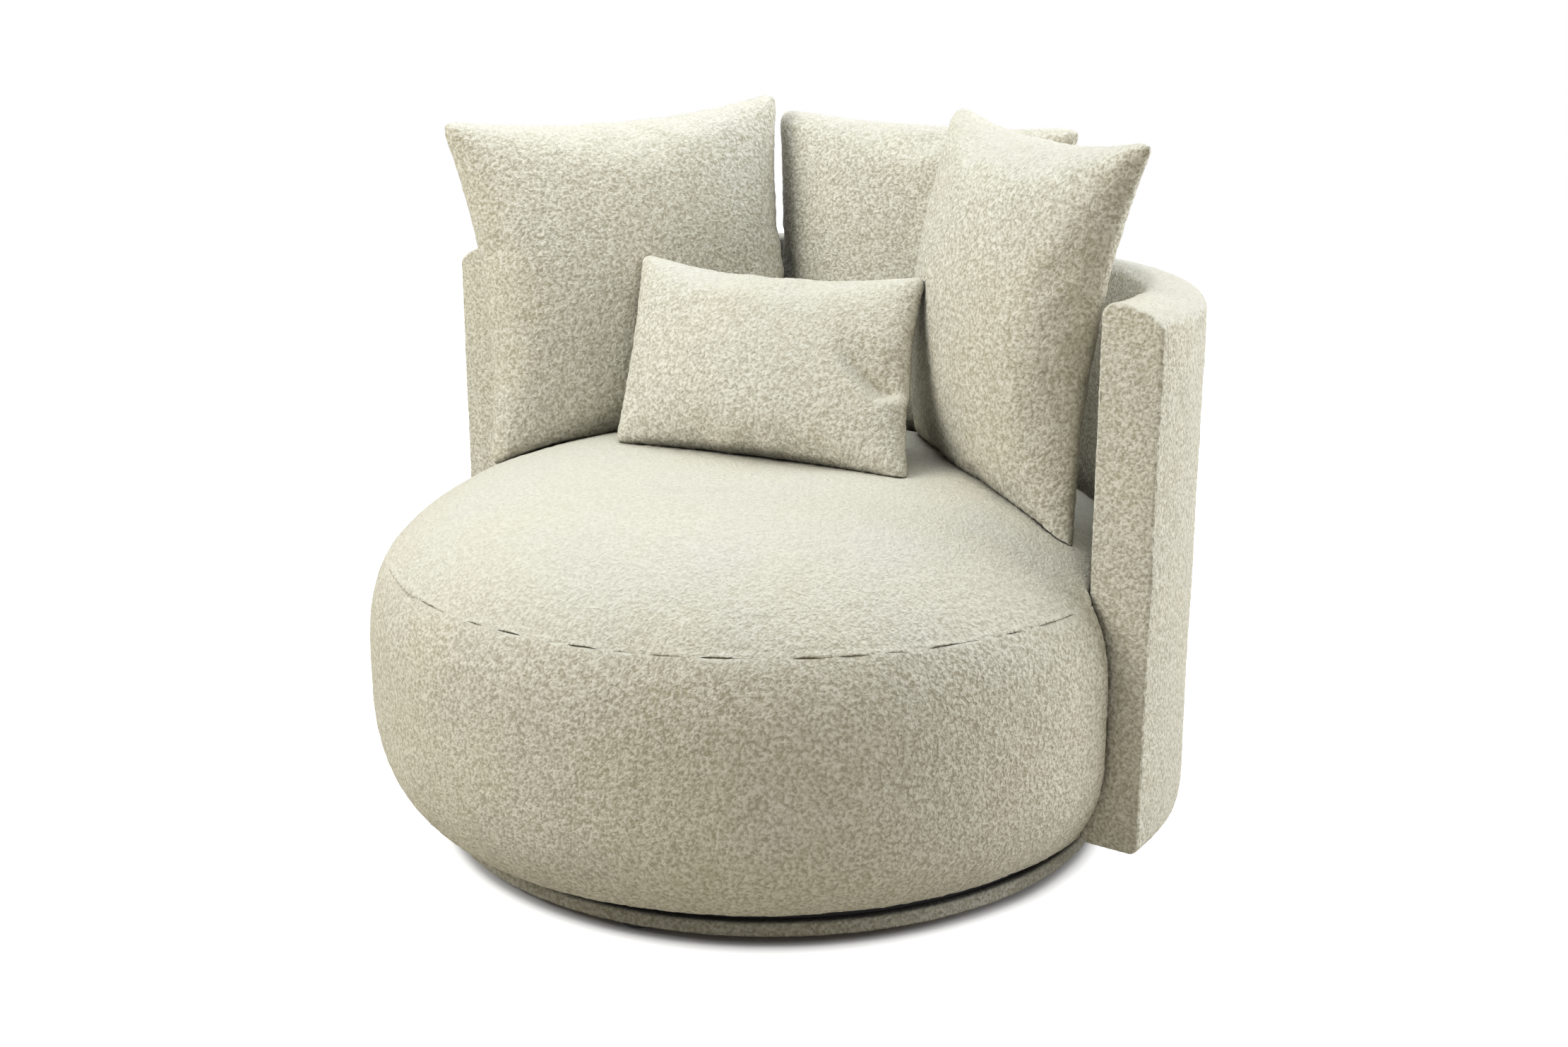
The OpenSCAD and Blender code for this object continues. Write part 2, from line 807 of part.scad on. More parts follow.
// Boucle side band, turned in under the base board
function side_cover_section(limit) = concat(
  [[hoop_r - 3, seat_bottom_z], [hoop_r - 3, seat_bottom_z - cover_t]],
  [[seat_bottom_r - 1.5, seat_bottom_z - cover_t]],
  side_points(seat_bottom_z, seam_z, 0, limit),
  reversed(side_points(seat_bottom_z, seam_z, cover_t, limit))
);
module seat_side_cover() {
  color(boucle)
    difference() {
      front_and_rear(side_cover_section(seat_wide_r), side_cover_section(seat_rear_r));
      shell_bores(bolt_hole_r, hoop_r, shell_inner_r);
    }
}
// Domed boucle top panel, sewn to the side band
function top_cover_section(limit) = concat(
  limit < seam_r ? [[limit, seam_z]] : [],
  dome_points(0, limit),
  reversed(dome_points(cover_t, limit)),
  limit < seam_r ? [[limit - cover_t, seam_z]] : []
);
module seat_top_cover() {
  color(boucle)
    front_and_rear(top_cover_section(seat_wide_r), top_cover_section(seat_rear_r));
}

// Half ring of the shell's frame
module half_ring(outer, inner, low, high) {
  behind(ring_start_y)
    at_upper()
      ring(outer, inner, low, high);
}
module shell_inner_panel() {
  color(plywood)
    difference() {
      half_ring(shell_cavity_in, shell_frame_in, shell_frame_bottom, shell_frame_top);
      shell_bores(bolt_hole_r, shell_frame_in - 20, shell_cavity_in + 20);
    }
}
module shell_outer_panel() {
  color(plywood)
    half_ring(shell_frame_out, shell_cavity_out, shell_frame_bottom, shell_frame_top);
}
module shell_posts() {
  color(plywood)
    difference() {
      at_upper()
        for (angle = shell_post_angles)
          rotate([0, 0, angle])
            translate([shell_cavity_in + 0.1, -shell_post_w/2, shell_frame_bottom + board_t])
              cube([
                shell_cavity_out - shell_cavity_in - 1, shell_post_w,
                shell_frame_top - shell_frame_bottom - 2*board_t
              ]);
      shell_bores(shell_nut_r + thread_clear, shell_cavity_in - 10, shell_bolt_end);
    }
}
module shell_top_rail() {
  color(plywood)
    half_ring(shell_cavity_out, shell_cavity_in, shell_frame_top - board_t, shell_frame_top);
}
module shell_bottom_rail() {
  color(plywood)
    half_ring(shell_cavity_out, shell_cavity_in,
      shell_frame_bottom, shell_frame_bottom + board_t);
}
// One board behind each arm front closes the frame's ends
module both_arms(y, thickness) {
  for (side = [0, 1])
    mirror([side, 0, 0])
      translate([0, y + thickness, 0])
        rotate([90, 0, 0])
          linear_extrude(height = thickness)
            children();
}
module arm_boards() {
  color(plywood)
    both_arms(arm_board_y, board_t)
      translate([shell_frame_in + 1, shell_frame_bottom])
        square([shell_frame_out - shell_frame_in - 2, shell_frame_top - shell_frame_bottom]);
}
// Foam over both faces and the top of the frame
module shell_padding() {
  inset = cover_t + soft_gap;
  color(foam)
    difference() {
      behind(arm_board_y)
        at_upper()
          rotate_extrude(angle = 180)
            difference() {
              polygon(shell_section(inset));
              translate([shell_frame_in - soft_gap, shell_bottom_z])
                square([
                  shell_frame_out - shell_frame_in + 2*soft_gap,
                  shell_frame_top + soft_gap - shell_bottom_z
                ]);
            }
      shell_bores(bolt_hole_r, shell_inner_r - 10, shell_frame_in + 10);
    }
}
module arm_pads() {
  color(foam)
    both_arms(arm_face_y + cover_t + soft_gap, arm_pad - 2*soft_gap)
      polygon(shell_section(cover_t + soft_gap));
}
// Boucle over the shell, open underneath for the bottom cloth
module shell_cover() {
  color(boucle)
    difference() {
      behind(arm_board_y)
        at_upper()
          rotate_extrude(angle = 180)
            difference() {
              polygon(shell_section(0));
              polygon(shell_section(cover_t));
              translate([shell_inner_r + cloth_inset, shell_bottom_z - 1])
                square([shell_wall - 2*cloth_inset, cover_t + 2]);
            }
      shell_bores(bolt_hole_r, shell_inner_r - 10, shell_frame_in);
    }
}
// Boucle cap over an arm's front, sewn to the shell cover along its edge
module arm_cap() {
  translate([0, arm_board_y, 0])
    rotate([90, 0, 0])
      difference() {
        linear_extrude(height = arm_pad + cover_t)
          polygon(shell_section(0));
        translate([0, 0, -1])
          linear_extrude(height = arm_pad + 1)
            polygon(shell_section(cover_t));
      }
}
module left_arm_cover() {
  color(boucle)
    mirror([1, 0, 0])
      arm_cap();
}
module right_arm_cover() {
  color(boucle)
    arm_cap();
}
module shell_bottom_cloth() {
  color(black)
    behind(ring_start_y)
      at_upper()
        ring(shell_outer_r - cloth_inset - soft_gap, shell_inner_r + cloth_inset + soft_gap,
          shell_bottom_z + 1, shell_bottom_z + 1 + cloth_t);
}

// Bolts from inside the seat frame into insert nuts in the shell's posts
module shell_bolts() {
  head_top = hoop_inner_r - 0.1;
  color(steel) {
    shell_bores(2*shell_bolt_r, head_top - bolt_head_h, head_top);
    shell_bores(shell_bolt_r, head_top - 1, shell_bolt_end - 2);
  }
}
module shell_insert_nuts() {
  color("#b08a4a")
    difference() {
      shell_bores(shell_nut_r, shell_cavity_in, shell_cavity_in + shell_nut_len);
      shell_bores(shell_bolt_r + thread_clear, shell_cavity_in - 10, shell_bolt_end + 10);
    }
}

module left_pillow_front() {
  left_place()
    pillow_front(left_w, left_h, left_t);
}
module left_pillow_back() {
  left_place()
    pillow_back(left_w, left_h, left_t);
}
module left_pillow_fill() {
  left_place()
    pillow_fill(left_w, left_h, left_t);
}
module middle_pillow_front() {
  middle_place()
    pillow_front(middle_w, middle_h, middle_t);
}
module middle_pillow_back() {
  middle_place()
    pillow_back(middle_w, middle_h, middle_t);
}
module middle_pillow_fill() {
  middle_place()
    pillow_fill(middle_w, middle_h, middle_t);
}
module right_pillow_front() {
  right_place()
    pillow_front(right_w, right_h, right_t);
}
module right_pillow_back() {
  right_place()
    pillow_back(right_w, right_h, right_t);
}
module right_pillow_fill() {
  right_place()
    pillow_fill(right_w, right_h, right_t);
}
module lumbar_pillow_front() {
  lumbar_place()
    pillow_front(lumbar_w, lumbar_h, lumbar_t);
}
module lumbar_pillow_back() {
  lumbar_place()
    pillow_back(lumbar_w, lumbar_h, lumbar_t);
}
module lumbar_pillow_fill() {
  lumbar_place()
    pillow_fill(lumbar_w, lumbar_h, lumbar_t);
}

floor_glides();
glide_screws();
plinth_board();
plinth_hoop();
plinth_cover();
lower_bearing_plate();
lower_plate_screws();
pivot_bolt();
pivot_washer();
pivot_nut();
ball_cage();
bearing_balls();
upper_bearing_plate();
pivot_bush();
upper_plate_bolts();
upper_plate_nuts();
spacer_board();
seat_base_board();
dust_cover();
seat_frame_hoop();
seat_posts();
seat_top_ring();
spring_clips();
seat_springs();
spring_felt();
seat_foam();
side_foam();
seat_side_cover();
seat_top_cover();
shell_inner_panel();
shell_outer_panel();
shell_posts();
shell_top_rail();
shell_bottom_rail();
arm_boards();
shell_padding();
arm_pads();
shell_cover();
left_arm_cover();
right_arm_cover();
shell_bottom_cloth();
shell_bolts();
shell_insert_nuts();
left_pillow_front();
left_pillow_back();
left_pillow_fill();
middle_pillow_front();
middle_pillow_back();
middle_pillow_fill();
right_pillow_front();
right_pillow_back();
right_pillow_fill();
lumbar_pillow_front();
lumbar_pillow_back();
lumbar_pillow_fill();
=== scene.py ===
import math

import bpy
import numpy as np
from mathutils import Matrix, Vector


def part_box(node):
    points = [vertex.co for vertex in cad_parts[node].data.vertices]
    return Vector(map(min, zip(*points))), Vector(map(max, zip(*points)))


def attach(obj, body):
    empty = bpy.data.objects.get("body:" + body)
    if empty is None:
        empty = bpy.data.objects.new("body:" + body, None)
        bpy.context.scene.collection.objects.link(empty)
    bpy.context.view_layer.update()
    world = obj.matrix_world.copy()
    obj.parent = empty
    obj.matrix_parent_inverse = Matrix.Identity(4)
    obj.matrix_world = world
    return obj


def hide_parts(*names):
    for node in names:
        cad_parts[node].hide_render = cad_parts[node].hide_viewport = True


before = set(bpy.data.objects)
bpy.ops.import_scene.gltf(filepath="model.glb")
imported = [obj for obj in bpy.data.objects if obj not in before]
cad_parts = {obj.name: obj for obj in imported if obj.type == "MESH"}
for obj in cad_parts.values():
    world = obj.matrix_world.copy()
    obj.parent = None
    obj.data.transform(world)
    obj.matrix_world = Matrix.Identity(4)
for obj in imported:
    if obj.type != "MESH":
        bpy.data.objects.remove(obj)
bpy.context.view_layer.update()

scene = bpy.context.scene
scene.view_settings.view_transform = "Standard"

# Camera
# A lens of 42 mm on a full frame sensor, 2.3 m from the chair's front right and a little above
# its pillows. The small shift only frames the chair as the photograph does.
camera_turn = math.radians(36.63)
camera_dip = math.radians(14.34)
camera = bpy.data.objects.new("camera", bpy.data.cameras.new("camera"))
camera.data.sensor_width = 36
camera.data.lens = 41.9
camera.data.shift_y = -0.0072
camera.location = (1.4014, -1.8606, 0.9953)
camera.rotation_euler = (math.pi / 2 - camera_dip, 0, camera_turn)
scene.collection.objects.link(camera)
scene.camera = camera


# Studio
# A matt white floor that runs out of the picture, a white surround and four large soft boxes:
# overhead, behind the right arm, in front at the left, and a weak one in front at the right.
def linear(code):
    """The linear colour of an sRGB hex value."""
    parts = [int(code[i:i + 2], 16) / 255 for i in (1, 3, 5)]
    return [p / 12.92 if p <= 0.04045 else ((p + 0.055) / 1.055) ** 2.4 for p in parts] + [1]


def add_node(tree, kind, settings=(), inputs=()):
    """Adds a node, sets it up, and gives each input a value or a link from another socket."""
    made = tree.nodes.new("ShaderNode" + kind)
    for name, value in dict(settings).items():
        setattr(made, name, value)
    for name, value in dict(inputs).items():
        if isinstance(value, bpy.types.NodeSocket):
            tree.links.new(value, made.inputs[name])
        else:
            made.inputs[name].default_value = value
    return made


def new_material(name):
    """An empty material and its tree of nodes."""
    material = bpy.data.materials.new(name)
    material.use_nodes = True
    material.node_tree.nodes.clear()
    return material, material.node_tree


def seen_directly(tree):
    """1 for rays from the camera, off gloss or through glass, and 0 for the rays that light."""
    path = add_node(tree, "LightPath")
    straight = add_node(tree, "Math", {"operation": "MAXIMUM"}, {
        0: path.outputs["Is Camera Ray"], 1: path.outputs["Is Glossy Ray"]})
    return add_node(tree, "Math", {"operation": "MAXIMUM"}, {
        0: straight.outputs[0], 1: path.outputs["Is Transmission Ray"]}).outputs[0]


# Matt warm white paint on a floor sweep. Seen directly it is drawn brighter, so that it clips to
# white, apart from close to the plinth: there an occlusion test holds the glow back, so the
# chair's shadow there is partly real and partly painted shadow.
floor_half = 7.0
shade_reach = 0.05
white_paint, tree = new_material("matt_white_paint")
paint = add_node(tree, "BsdfDiffuse", {}, {"Color": linear("#c2bcac")})
bright_paint = add_node(tree, "BsdfDiffuse", {}, {"Color": linear("#ffffff")})
# Painted shadow: near the chair this occlusion test dims the glow of the floor seen directly.
contact_shadow_occlusion = add_node(tree, "AmbientOcclusion", {"samples": 8}, {"Distance": shade_reach})
glow_outside_painted_shadow = add_node(tree, "MapRange", {}, {
    "Value": contact_shadow_occlusion.outputs["AO"], "From Min": 0.3, "From Max": 0.9})
glow = add_node(tree, "Emission", {}, {
    "Color": linear("#ffffff"), "Strength": glow_outside_painted_shadow.outputs[0]})
bright = add_node(tree, "AddShader", {}, {0: bright_paint.outputs[0], 1: glow.outputs[0]})
either = add_node(tree, "MixShader", {}, {
    0: seen_directly(tree), 1: paint.outputs[0], 2: bright.outputs[0]})
add_node(tree, "OutputMaterial", {}, {"Surface": either.outputs[0]})
floor_mesh = bpy.data.meshes.new("studio_floor")
floor_corners = [
    (x * floor_half, y * floor_half, 0) for x, y in ((-1, -1), (1, -1), (1, 1), (-1, 1))]
floor_mesh.from_pydata(floor_corners, [], [(0, 1, 2, 3)])
floor_mesh.materials.append(white_paint)
floor = bpy.data.objects.new("studio_floor", floor_mesh)
scene.collection.objects.link(floor)

world = bpy.data.worlds.new("studio")
scene.world = world
world.use_nodes = True
world.node_tree.nodes.clear()
surround_light = 0.165
backdrop_white = 1.0
strength = add_node(world.node_tree, "Mix", {"data_type": "FLOAT"}, {
    0: seen_directly(world.node_tree), 2: surround_light, 3: backdrop_white})
surround = add_node(world.node_tree, "Background", {}, {
    "Color": linear("#ffffff"), "Strength": strength.outputs[0]})
add_node(world.node_tree, "OutputWorld", {}, {"Surface": surround.outputs[0]})


def soft_box(name, place, across, watts, tint):
    """A square soft box that faces the middle of the chair."""
    lamp = bpy.data.objects.new(name, bpy.data.lights.new(name, "AREA"))
    lamp.data.size = across
    lamp.data.energy = watts
    lamp.data.color = linear(tint)[:3]
    lamp.location = place
    lamp.rotation_euler = (Vector((0, 0, 0.4)) - Vector(place)).to_track_quat("-Z", "Y").to_euler()
    scene.collection.objects.link(lamp)


soft_box("soft_box_above", (-0.3, 0.5, 3.0), 2.4, 56, "#e8f1ff")
soft_box("soft_box_right", (2.3, 1.7, 1.5), 1.8, 66, "#fafcff")
soft_box("soft_box_front_left", (-1.45, -2.1, 2.5), 1.8, 78, "#fdfcf5")
soft_box("soft_box_front_right", (1.8, -1.6, 2.8), 1.8, 14, "#fff6e3")

# Plinth boards
# A round board and a hoop bent round its edge, both birch plywood, glued together. They carry
# the lower half of the swivel.
mm = 0.001


def surface_place(tree, stretch=(1, 1, 1)):
    """The place of a point on its piece in metres, stretched along the piece's axes."""
    place = add_node(tree, "TexCoord").outputs["Object"]
    return add_node(tree, "Mapping", {}, {"Vector": place, "Scale": stretch}).outputs[0]


# The sockets of a Mix node that mixes two colours
mix_share = 0
mix_first = 6
mix_second = 7
mix_result = 2

# Birch plywood, sanded and oiled: pale long grain about 3 mm apart, with faint pores.
ply_grain = 3 * mm
birch_plywood, tree = new_material("birch_plywood")
along = surface_place(tree, (0.12, 1, 1))
grain = add_node(tree, "TexNoise", {}, {
    "Vector": along, "Scale": 1 / ply_grain, "Detail": 4, "Distortion": 1.2})
pores = add_node(tree, "TexNoise", {}, {"Vector": along, "Scale": 4 / ply_grain, "Detail": 2})
wood_tone = add_node(tree, "MapRange", {"interpolation_type": "SMOOTHSTEP"}, {
    "Value": grain.outputs[0], "From Min": 0.35, "From Max": 0.65}).outputs[0]
wood_colour = add_node(tree, "Mix", {"data_type": "RGBA"}, {
    mix_share: wood_tone,
    mix_first: linear("#d9bd8e"), mix_second: linear("#b98f5c")}).outputs[mix_result]
ply_bump = add_node(tree, "Bump", {}, {
    "Strength": 0.3, "Distance": 0.2 * mm, "Height": pores.outputs[0]})
ply_face = add_node(tree, "BsdfPrincipled", {}, {
    "Base Color": wood_colour, "Roughness": 0.6, "IOR": 1.5, "Normal": ply_bump.outputs[0]})
add_node(tree, "OutputMaterial", {}, {"Surface": ply_face.outputs[0]})


def finish_nodes(material, *names):
    """Gives carried over pieces their material."""
    for name in names:
        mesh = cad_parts[name].data
        mesh.materials.clear()
        mesh.materials.append(material)
        mesh.polygons.foreach_set("material_index", [0] * len(mesh.polygons))


finish_nodes(birch_plywood, "plinth_board")

# The hoop is drawn black, painted shade that stands in for the shadow in the gap above its cover,
# so that the gap reads as a dark line.
hoop_shade_black, tree = new_material("hoop_shade_black")
hoop_shade_grain = add_node(tree, "TexNoise", {}, {
    "Vector": surface_place(tree, (1, 1, 0.2)), "Scale": 1 / ply_grain, "Detail": 4})
hoop_shade_colour = add_node(tree, "Mix", {"data_type": "RGBA"}, {
    mix_share: hoop_shade_grain.outputs[0],
    mix_first: linear("#0b0a09"), mix_second: linear("#1a1714")}).outputs[mix_result]
hoop_shade_face = add_node(tree, "BsdfPrincipled", {}, {
    "Base Color": hoop_shade_colour, "Roughness": 0.8, "IOR": 1.5})
add_node(tree, "OutputMaterial", {}, {"Surface": hoop_shade_face.outputs[0]})
finish_nodes(hoop_shade_black, "plinth_hoop")

# Floor glides
# Four black glides moulded in polypropylene, each with a steel screw up into the plinth board.

# Polypropylene from a spark eroded mould, whose grit scatters the gloss. Drawn coarser than real.
mould_grit = 0.6 * mm
black_polypropylene, tree = new_material("black_polypropylene")
grit = add_node(tree, "TexNoise", {}, {
    "Vector": surface_place(tree), "Scale": 1 / mould_grit, "Detail": 2})
grit_bump = add_node(tree, "Bump", {}, {
    "Strength": 0.25, "Distance": 0.05 * mm, "Height": grit.outputs[0]})
black_colour = add_node(tree, "Mix", {"data_type": "RGBA"}, {
    mix_share: grit.outputs[0],
    mix_first: linear("#161616"), mix_second: linear("#1f1f1f")}).outputs[mix_result]
glide_face = add_node(tree, "BsdfPrincipled", {}, {
    "Base Color": black_colour, "Roughness": 0.5, "IOR": 1.49, "Normal": grit_bump.outputs[0]})
add_node(tree, "OutputMaterial", {}, {"Surface": glide_face.outputs[0]})
finish_nodes(black_polypropylene, "floor_glides")

# Screws, bolts, nuts, plates and clips
# Mild steel with blue zinc plating. The bearing plates are pressed, the rest is cold formed.

# Blue zinc plating: a soft grey shine, slightly patchy.
zinc_spangle = 2.5 * mm
zinc_plated_steel, tree = new_material("zinc_plated_steel")
spangle = add_node(tree, "TexVoronoi", {}, {
    "Vector": surface_place(tree), "Scale": 1 / zinc_spangle})
zinc_colour = add_node(tree, "Mix", {"data_type": "RGBA"}, {
    mix_share: spangle.outputs["Distance"],
    mix_first: linear("#aab0b5"), mix_second: linear("#c6cacd")}).outputs[mix_result]
zinc_rough = add_node(tree, "MapRange", {}, {
    "Value": spangle.outputs["Distance"], "To Min": 0.28, "To Max": 0.42})
zinc_face = add_node(tree, "BsdfPrincipled", {}, {
    "Base Color": zinc_colour, "Metallic": 1.0, "Roughness": zinc_rough.outputs[0]})
add_node(tree, "OutputMaterial", {}, {"Surface": zinc_face.outputs[0]})
finish_nodes(
    zinc_plated_steel, "glide_screws", "lower_bearing_plate", "lower_plate_screws", "pivot_bolt",
    "pivot_washer", "pivot_nut", "ball_cage", "upper_bearing_plate", "upper_plate_bolts",
    "upper_plate_nuts", "spring_clips", "shell_bolts")

# Bearing balls
# Eighteen chrome steel balls, ground and polished, in a pressed cage.

# Polished steel: a bright mirror with fine scratches, drawn coarser than real so that they show.
polish_scratch = 0.4 * mm
polished_ball_steel, tree = new_material("polished_ball_steel")
scratches = add_node(tree, "TexNoise", {}, {
    "Vector": surface_place(tree), "Scale": 1 / polish_scratch, "Detail": 3})
ball_rough = add_node(tree, "MapRange", {}, {
    "Value": scratches.outputs[0], "To Min": 0.06, "To Max": 0.16})
ball_face = add_node(tree, "BsdfPrincipled", {}, {
    "Base Color": linear("#c9cacc"), "Metallic": 1.0, "Roughness": ball_rough.outputs[0]})
add_node(tree, "OutputMaterial", {}, {"Surface": ball_face.outputs[0]})
finish_nodes(polished_ball_steel, "bearing_balls")

# Pivot bush and insert nuts
# Sintered bronze for the bush that the pivot bolt turns in. The insert nuts in the shell's posts
# are of a bronze that looks the same.

# Sintered bronze: a dull yellow brown from its grains, which are drawn coarser than real.
sinter_grain = 0.5 * mm
sintered_bronze, tree = new_material("sintered_bronze")
sinter = add_node(tree, "TexNoise", {}, {
    "Vector": surface_place(tree), "Scale": 1 / sinter_grain, "Detail": 3})
bronze_colour = add_node(tree, "Mix", {"data_type": "RGBA"}, {
    mix_share: sinter.outputs[0],
    mix_first: linear("#8f6a32"), mix_second: linear("#c39a56")}).outputs[mix_result]
sinter_bump = add_node(tree, "Bump", {}, {
    "Strength": 0.3, "Distance": 0.05 * mm, "Height": sinter.outputs[0]})
bronze_face = add_node(tree, "BsdfPrincipled", {}, {
    "Base Color": bronze_colour, "Metallic": 1.0, "Roughness": 0.38,
    "Normal": sinter_bump.outputs[0]})
add_node(tree, "OutputMaterial", {}, {"Surface": bronze_face.outputs[0]})
finish_nodes(sintered_bronze, "pivot_bush", "shell_insert_nuts")

# Plinth cover
# A strip of the upholstery over thin wadding, stapled round the hoop and turned under at its
# foot. It ends well below the hoop's top, so that the hoop, drawn black as painted shade, shows as
# a dark line above it.
# Boucle is woven with a looped yarn, so every cover of the chair shows the same small curls.
plinth_low, plinth_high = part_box("plinth_cover")
plinth_r = plinth_high.x
plinth_hoop_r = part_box("plinth_hoop")[1].x
cloth_t = plinth_r - plinth_hoop_r

# Ivory wool boucle: soft curls some 5 mm wide with small loops on them, a little darker where
# the ground shows between, which is partly the ground's tone and partly painted shade in the
# hollows. The pile scatters light, so it shows no gloss. On faces that look up that painted shade
# is weaker, standing in for the flatter light that falls on top.
curl_spacing = 4.6 * mm
loop_spacing = 2.6 * mm
curl_wander = 1.6 * mm
curl_depth = 1.0 * mm
loop_share = 0.35
tone_patch = 160 * mm
yarn_share = 0.6
top_light_contrast = 0.3
gap_shade_reach = 110 * mm
wool_boucle, tree = new_material("wool_boucle")
place = surface_place(tree)
wander = add_node(tree, "TexNoise", {}, {"Vector": place, "Scale": 1 / curl_spacing, "Detail": 0})
centred = add_node(tree, "VectorMath", {"operation": "SUBTRACT"}, {
    0: wander.outputs["Color"], 1: (0.5, 0.5, 0.5)})
shift = add_node(tree, "VectorMath", {"operation": "SCALE"}, {
    0: centred.outputs[0], "Scale": 2 * curl_wander})
bent_place = add_node(tree, "VectorMath", {"operation": "ADD"}, {
    0: place, 1: shift.outputs[0]}).outputs[0]
curls = add_node(tree, "TexNoise", {}, {
    "Vector": bent_place, "Scale": 1 / curl_spacing, "Detail": 1, "Roughness": 0.5})
loops = add_node(tree, "TexVoronoi", {"feature": "SMOOTH_F1"}, {
    "Vector": bent_place, "Scale": 1 / loop_spacing, "Smoothness": 0.6})
curl_height = add_node(tree, "MapRange", {}, {
    "Value": curls.outputs[0], "From Min": 0.3, "From Max": 0.7}).outputs[0]
loop_height = add_node(tree, "MapRange", {}, {
    "Value": loops.outputs["Distance"], "From Min": 0.7, "From Max": 0.1}).outputs[0]
height = add_node(tree, "Math", {"operation": "MULTIPLY_ADD"}, {
    0: loop_height, 1: loop_share, 2: curl_height})
patches = add_node(tree, "TexNoise", {}, {"Vector": place, "Scale": 1 / tone_patch, "Detail": 2})
tone = add_node(tree, "MapRange", {"interpolation_type": "SMOOTHSTEP"}, {
    "Value": patches.outputs[0], "From Min": 0.35, "From Max": 0.65}).outputs[0]
yarn = add_node(tree, "Mix", {"data_type": "RGBA"}, {
    mix_share: tone,
    mix_first: linear("#e9e6d8"), mix_second: linear("#e8e6da")}).outputs[mix_result]
# The colour of the curls' low places is partly the ground's own tone and partly painted shade of
# the hollows.
ground_and_hollow_shade = add_node(tree, "Mix", {"data_type": "RGBA"}, {
    mix_share: tone,
    mix_first: linear("#b3ad97"), mix_second: linear("#b1ac9a")}).outputs[mix_result]
lit = add_node(tree, "MapRange", {}, {
    "Value": height.outputs[0], "From Min": 0.15, "From Max": 1.05}).outputs[0]
# Faces that look up get less of the painted hollow shade, standing in for the flatter light on top.
facing = add_node(tree, "SeparateXYZ", {}, {0: add_node(tree, "TexCoord").outputs["Normal"]})
hollow_shade_strength = add_node(tree, "MapRange", {}, {
    "Value": facing.outputs["Z"], "From Min": 0.35, "From Max": 0.9,
    "To Min": 1.0, "To Max": top_light_contrast})
above_middle = add_node(tree, "Math", {"operation": "SUBTRACT"}, {0: lit, 1: yarn_share})
yarn_shown = add_node(tree, "Math", {"operation": "MULTIPLY_ADD"}, {
    0: above_middle.outputs[0], 1: hollow_shade_strength.outputs[0], 2: yarn_share}).outputs[0]
# Painted shade: deep in a gap between two pieces, found by an occlusion test, the colour is drawn
# down to near black, so that the gap reads as a dark line
gap_occlusion = add_node(tree, "AmbientOcclusion", {"samples": 6}, {"Distance": gap_shade_reach})
painted_gap_light = add_node(tree, "MapRange", {}, {
    "Value": gap_occlusion.outputs["AO"], "From Min": 0.1, "From Max": 0.44,
    "To Min": 0.04, "To Max": 1.0})
open_colour = add_node(tree, "Mix", {"data_type": "RGBA"}, {
    mix_share: yarn_shown,
    mix_first: ground_and_hollow_shade, mix_second: yarn}).outputs[mix_result]
boucle_colour = add_node(tree, "Mix", {"data_type": "RGBA"}, {
    mix_share: painted_gap_light.outputs[0],
    mix_first: linear("#0d0c0a"), mix_second: open_colour}).outputs[mix_result]
boucle_bump = add_node(tree, "Bump", {}, {
    "Strength": 1.0, "Distance": curl_depth, "Height": height.outputs[0]})
boucle_face = add_node(tree, "BsdfPrincipled", {}, {
    "Base Color": boucle_colour, "Roughness": 0.95, "IOR": 1.5, "Specular IOR Level": 0.2,
    "Sheen Weight": 0.25, "Sheen Roughness": 0.6, "Sheen Tint": linear("#fff8ea"),
    "Normal": boucle_bump.outputs[0]})
add_node(tree, "OutputMaterial", {}, {"Surface": boucle_face.outputs[0]})

# The same curls as real relief, drawn coarser than they are because the meshes are 3 to 5 mm
# fine. A slower sway keeps the padded faces from looking turned on a lathe.
curl_rise = 1.3 * mm
loop_rise = 1.2 * mm
sway_rise = 3 * mm
relief_curls = bpy.data.textures.new("relief_curls", "VORONOI")
relief_curls.noise_scale = 9 * mm
relief_loops = bpy.data.textures.new("relief_loops", "CLOUDS")
relief_loops.noise_scale = 12 * mm
relief_loops.noise_depth = 1
relief_sway = bpy.data.textures.new("relief_sway", "CLOUDS")
relief_sway.noise_scale = 120 * mm
relief_sway.noise_depth = 1


def new_piece(name, points, faces, material):
    """A smooth shaded mesh from points in metres."""
    mesh = bpy.data.meshes.new(name)
    mesh.from_pydata(np.asarray(points).tolist(), [], faces)
    mesh.polygons.foreach_set("use_smooth", [True] * len(mesh.polygons))
    mesh.materials.append(material)
    piece = bpy.data.objects.new(name, mesh)
    scene.collection.objects.link(piece)
    return piece


def settle(piece):
    """Turns what the modifiers make into the piece's own mesh."""
    bpy.context.view_layer.update()
    shape = piece.evaluated_get(bpy.context.evaluated_depsgraph_get())
    piece.data = bpy.data.meshes.new_from_object(shape)
    piece.modifiers.clear()


def raise_pile(piece, shares, sway=1.0):
    """Raises the curls where the shares, one per point, are above 0."""
    group = piece.vertex_groups.new(name="pile")
    for share in np.unique(np.round(shares, 2)):
        members = np.nonzero(np.round(shares, 2) == share)[0].tolist()
        group.add(members, float(share), "REPLACE")
    for texture, rise, middle in (
            (relief_curls, -curl_rise, 0.4), (relief_loops, loop_rise, 0.5),
            (relief_sway, sway * sway_rise, 0.5)):
        relief = piece.modifiers.new(texture.name, "DISPLACE")
        relief.texture = texture
        relief.texture_coords = "LOCAL"
        relief.strength = rise
        relief.mid_level = middle
        relief.vertex_group = group.name
    settle(piece)


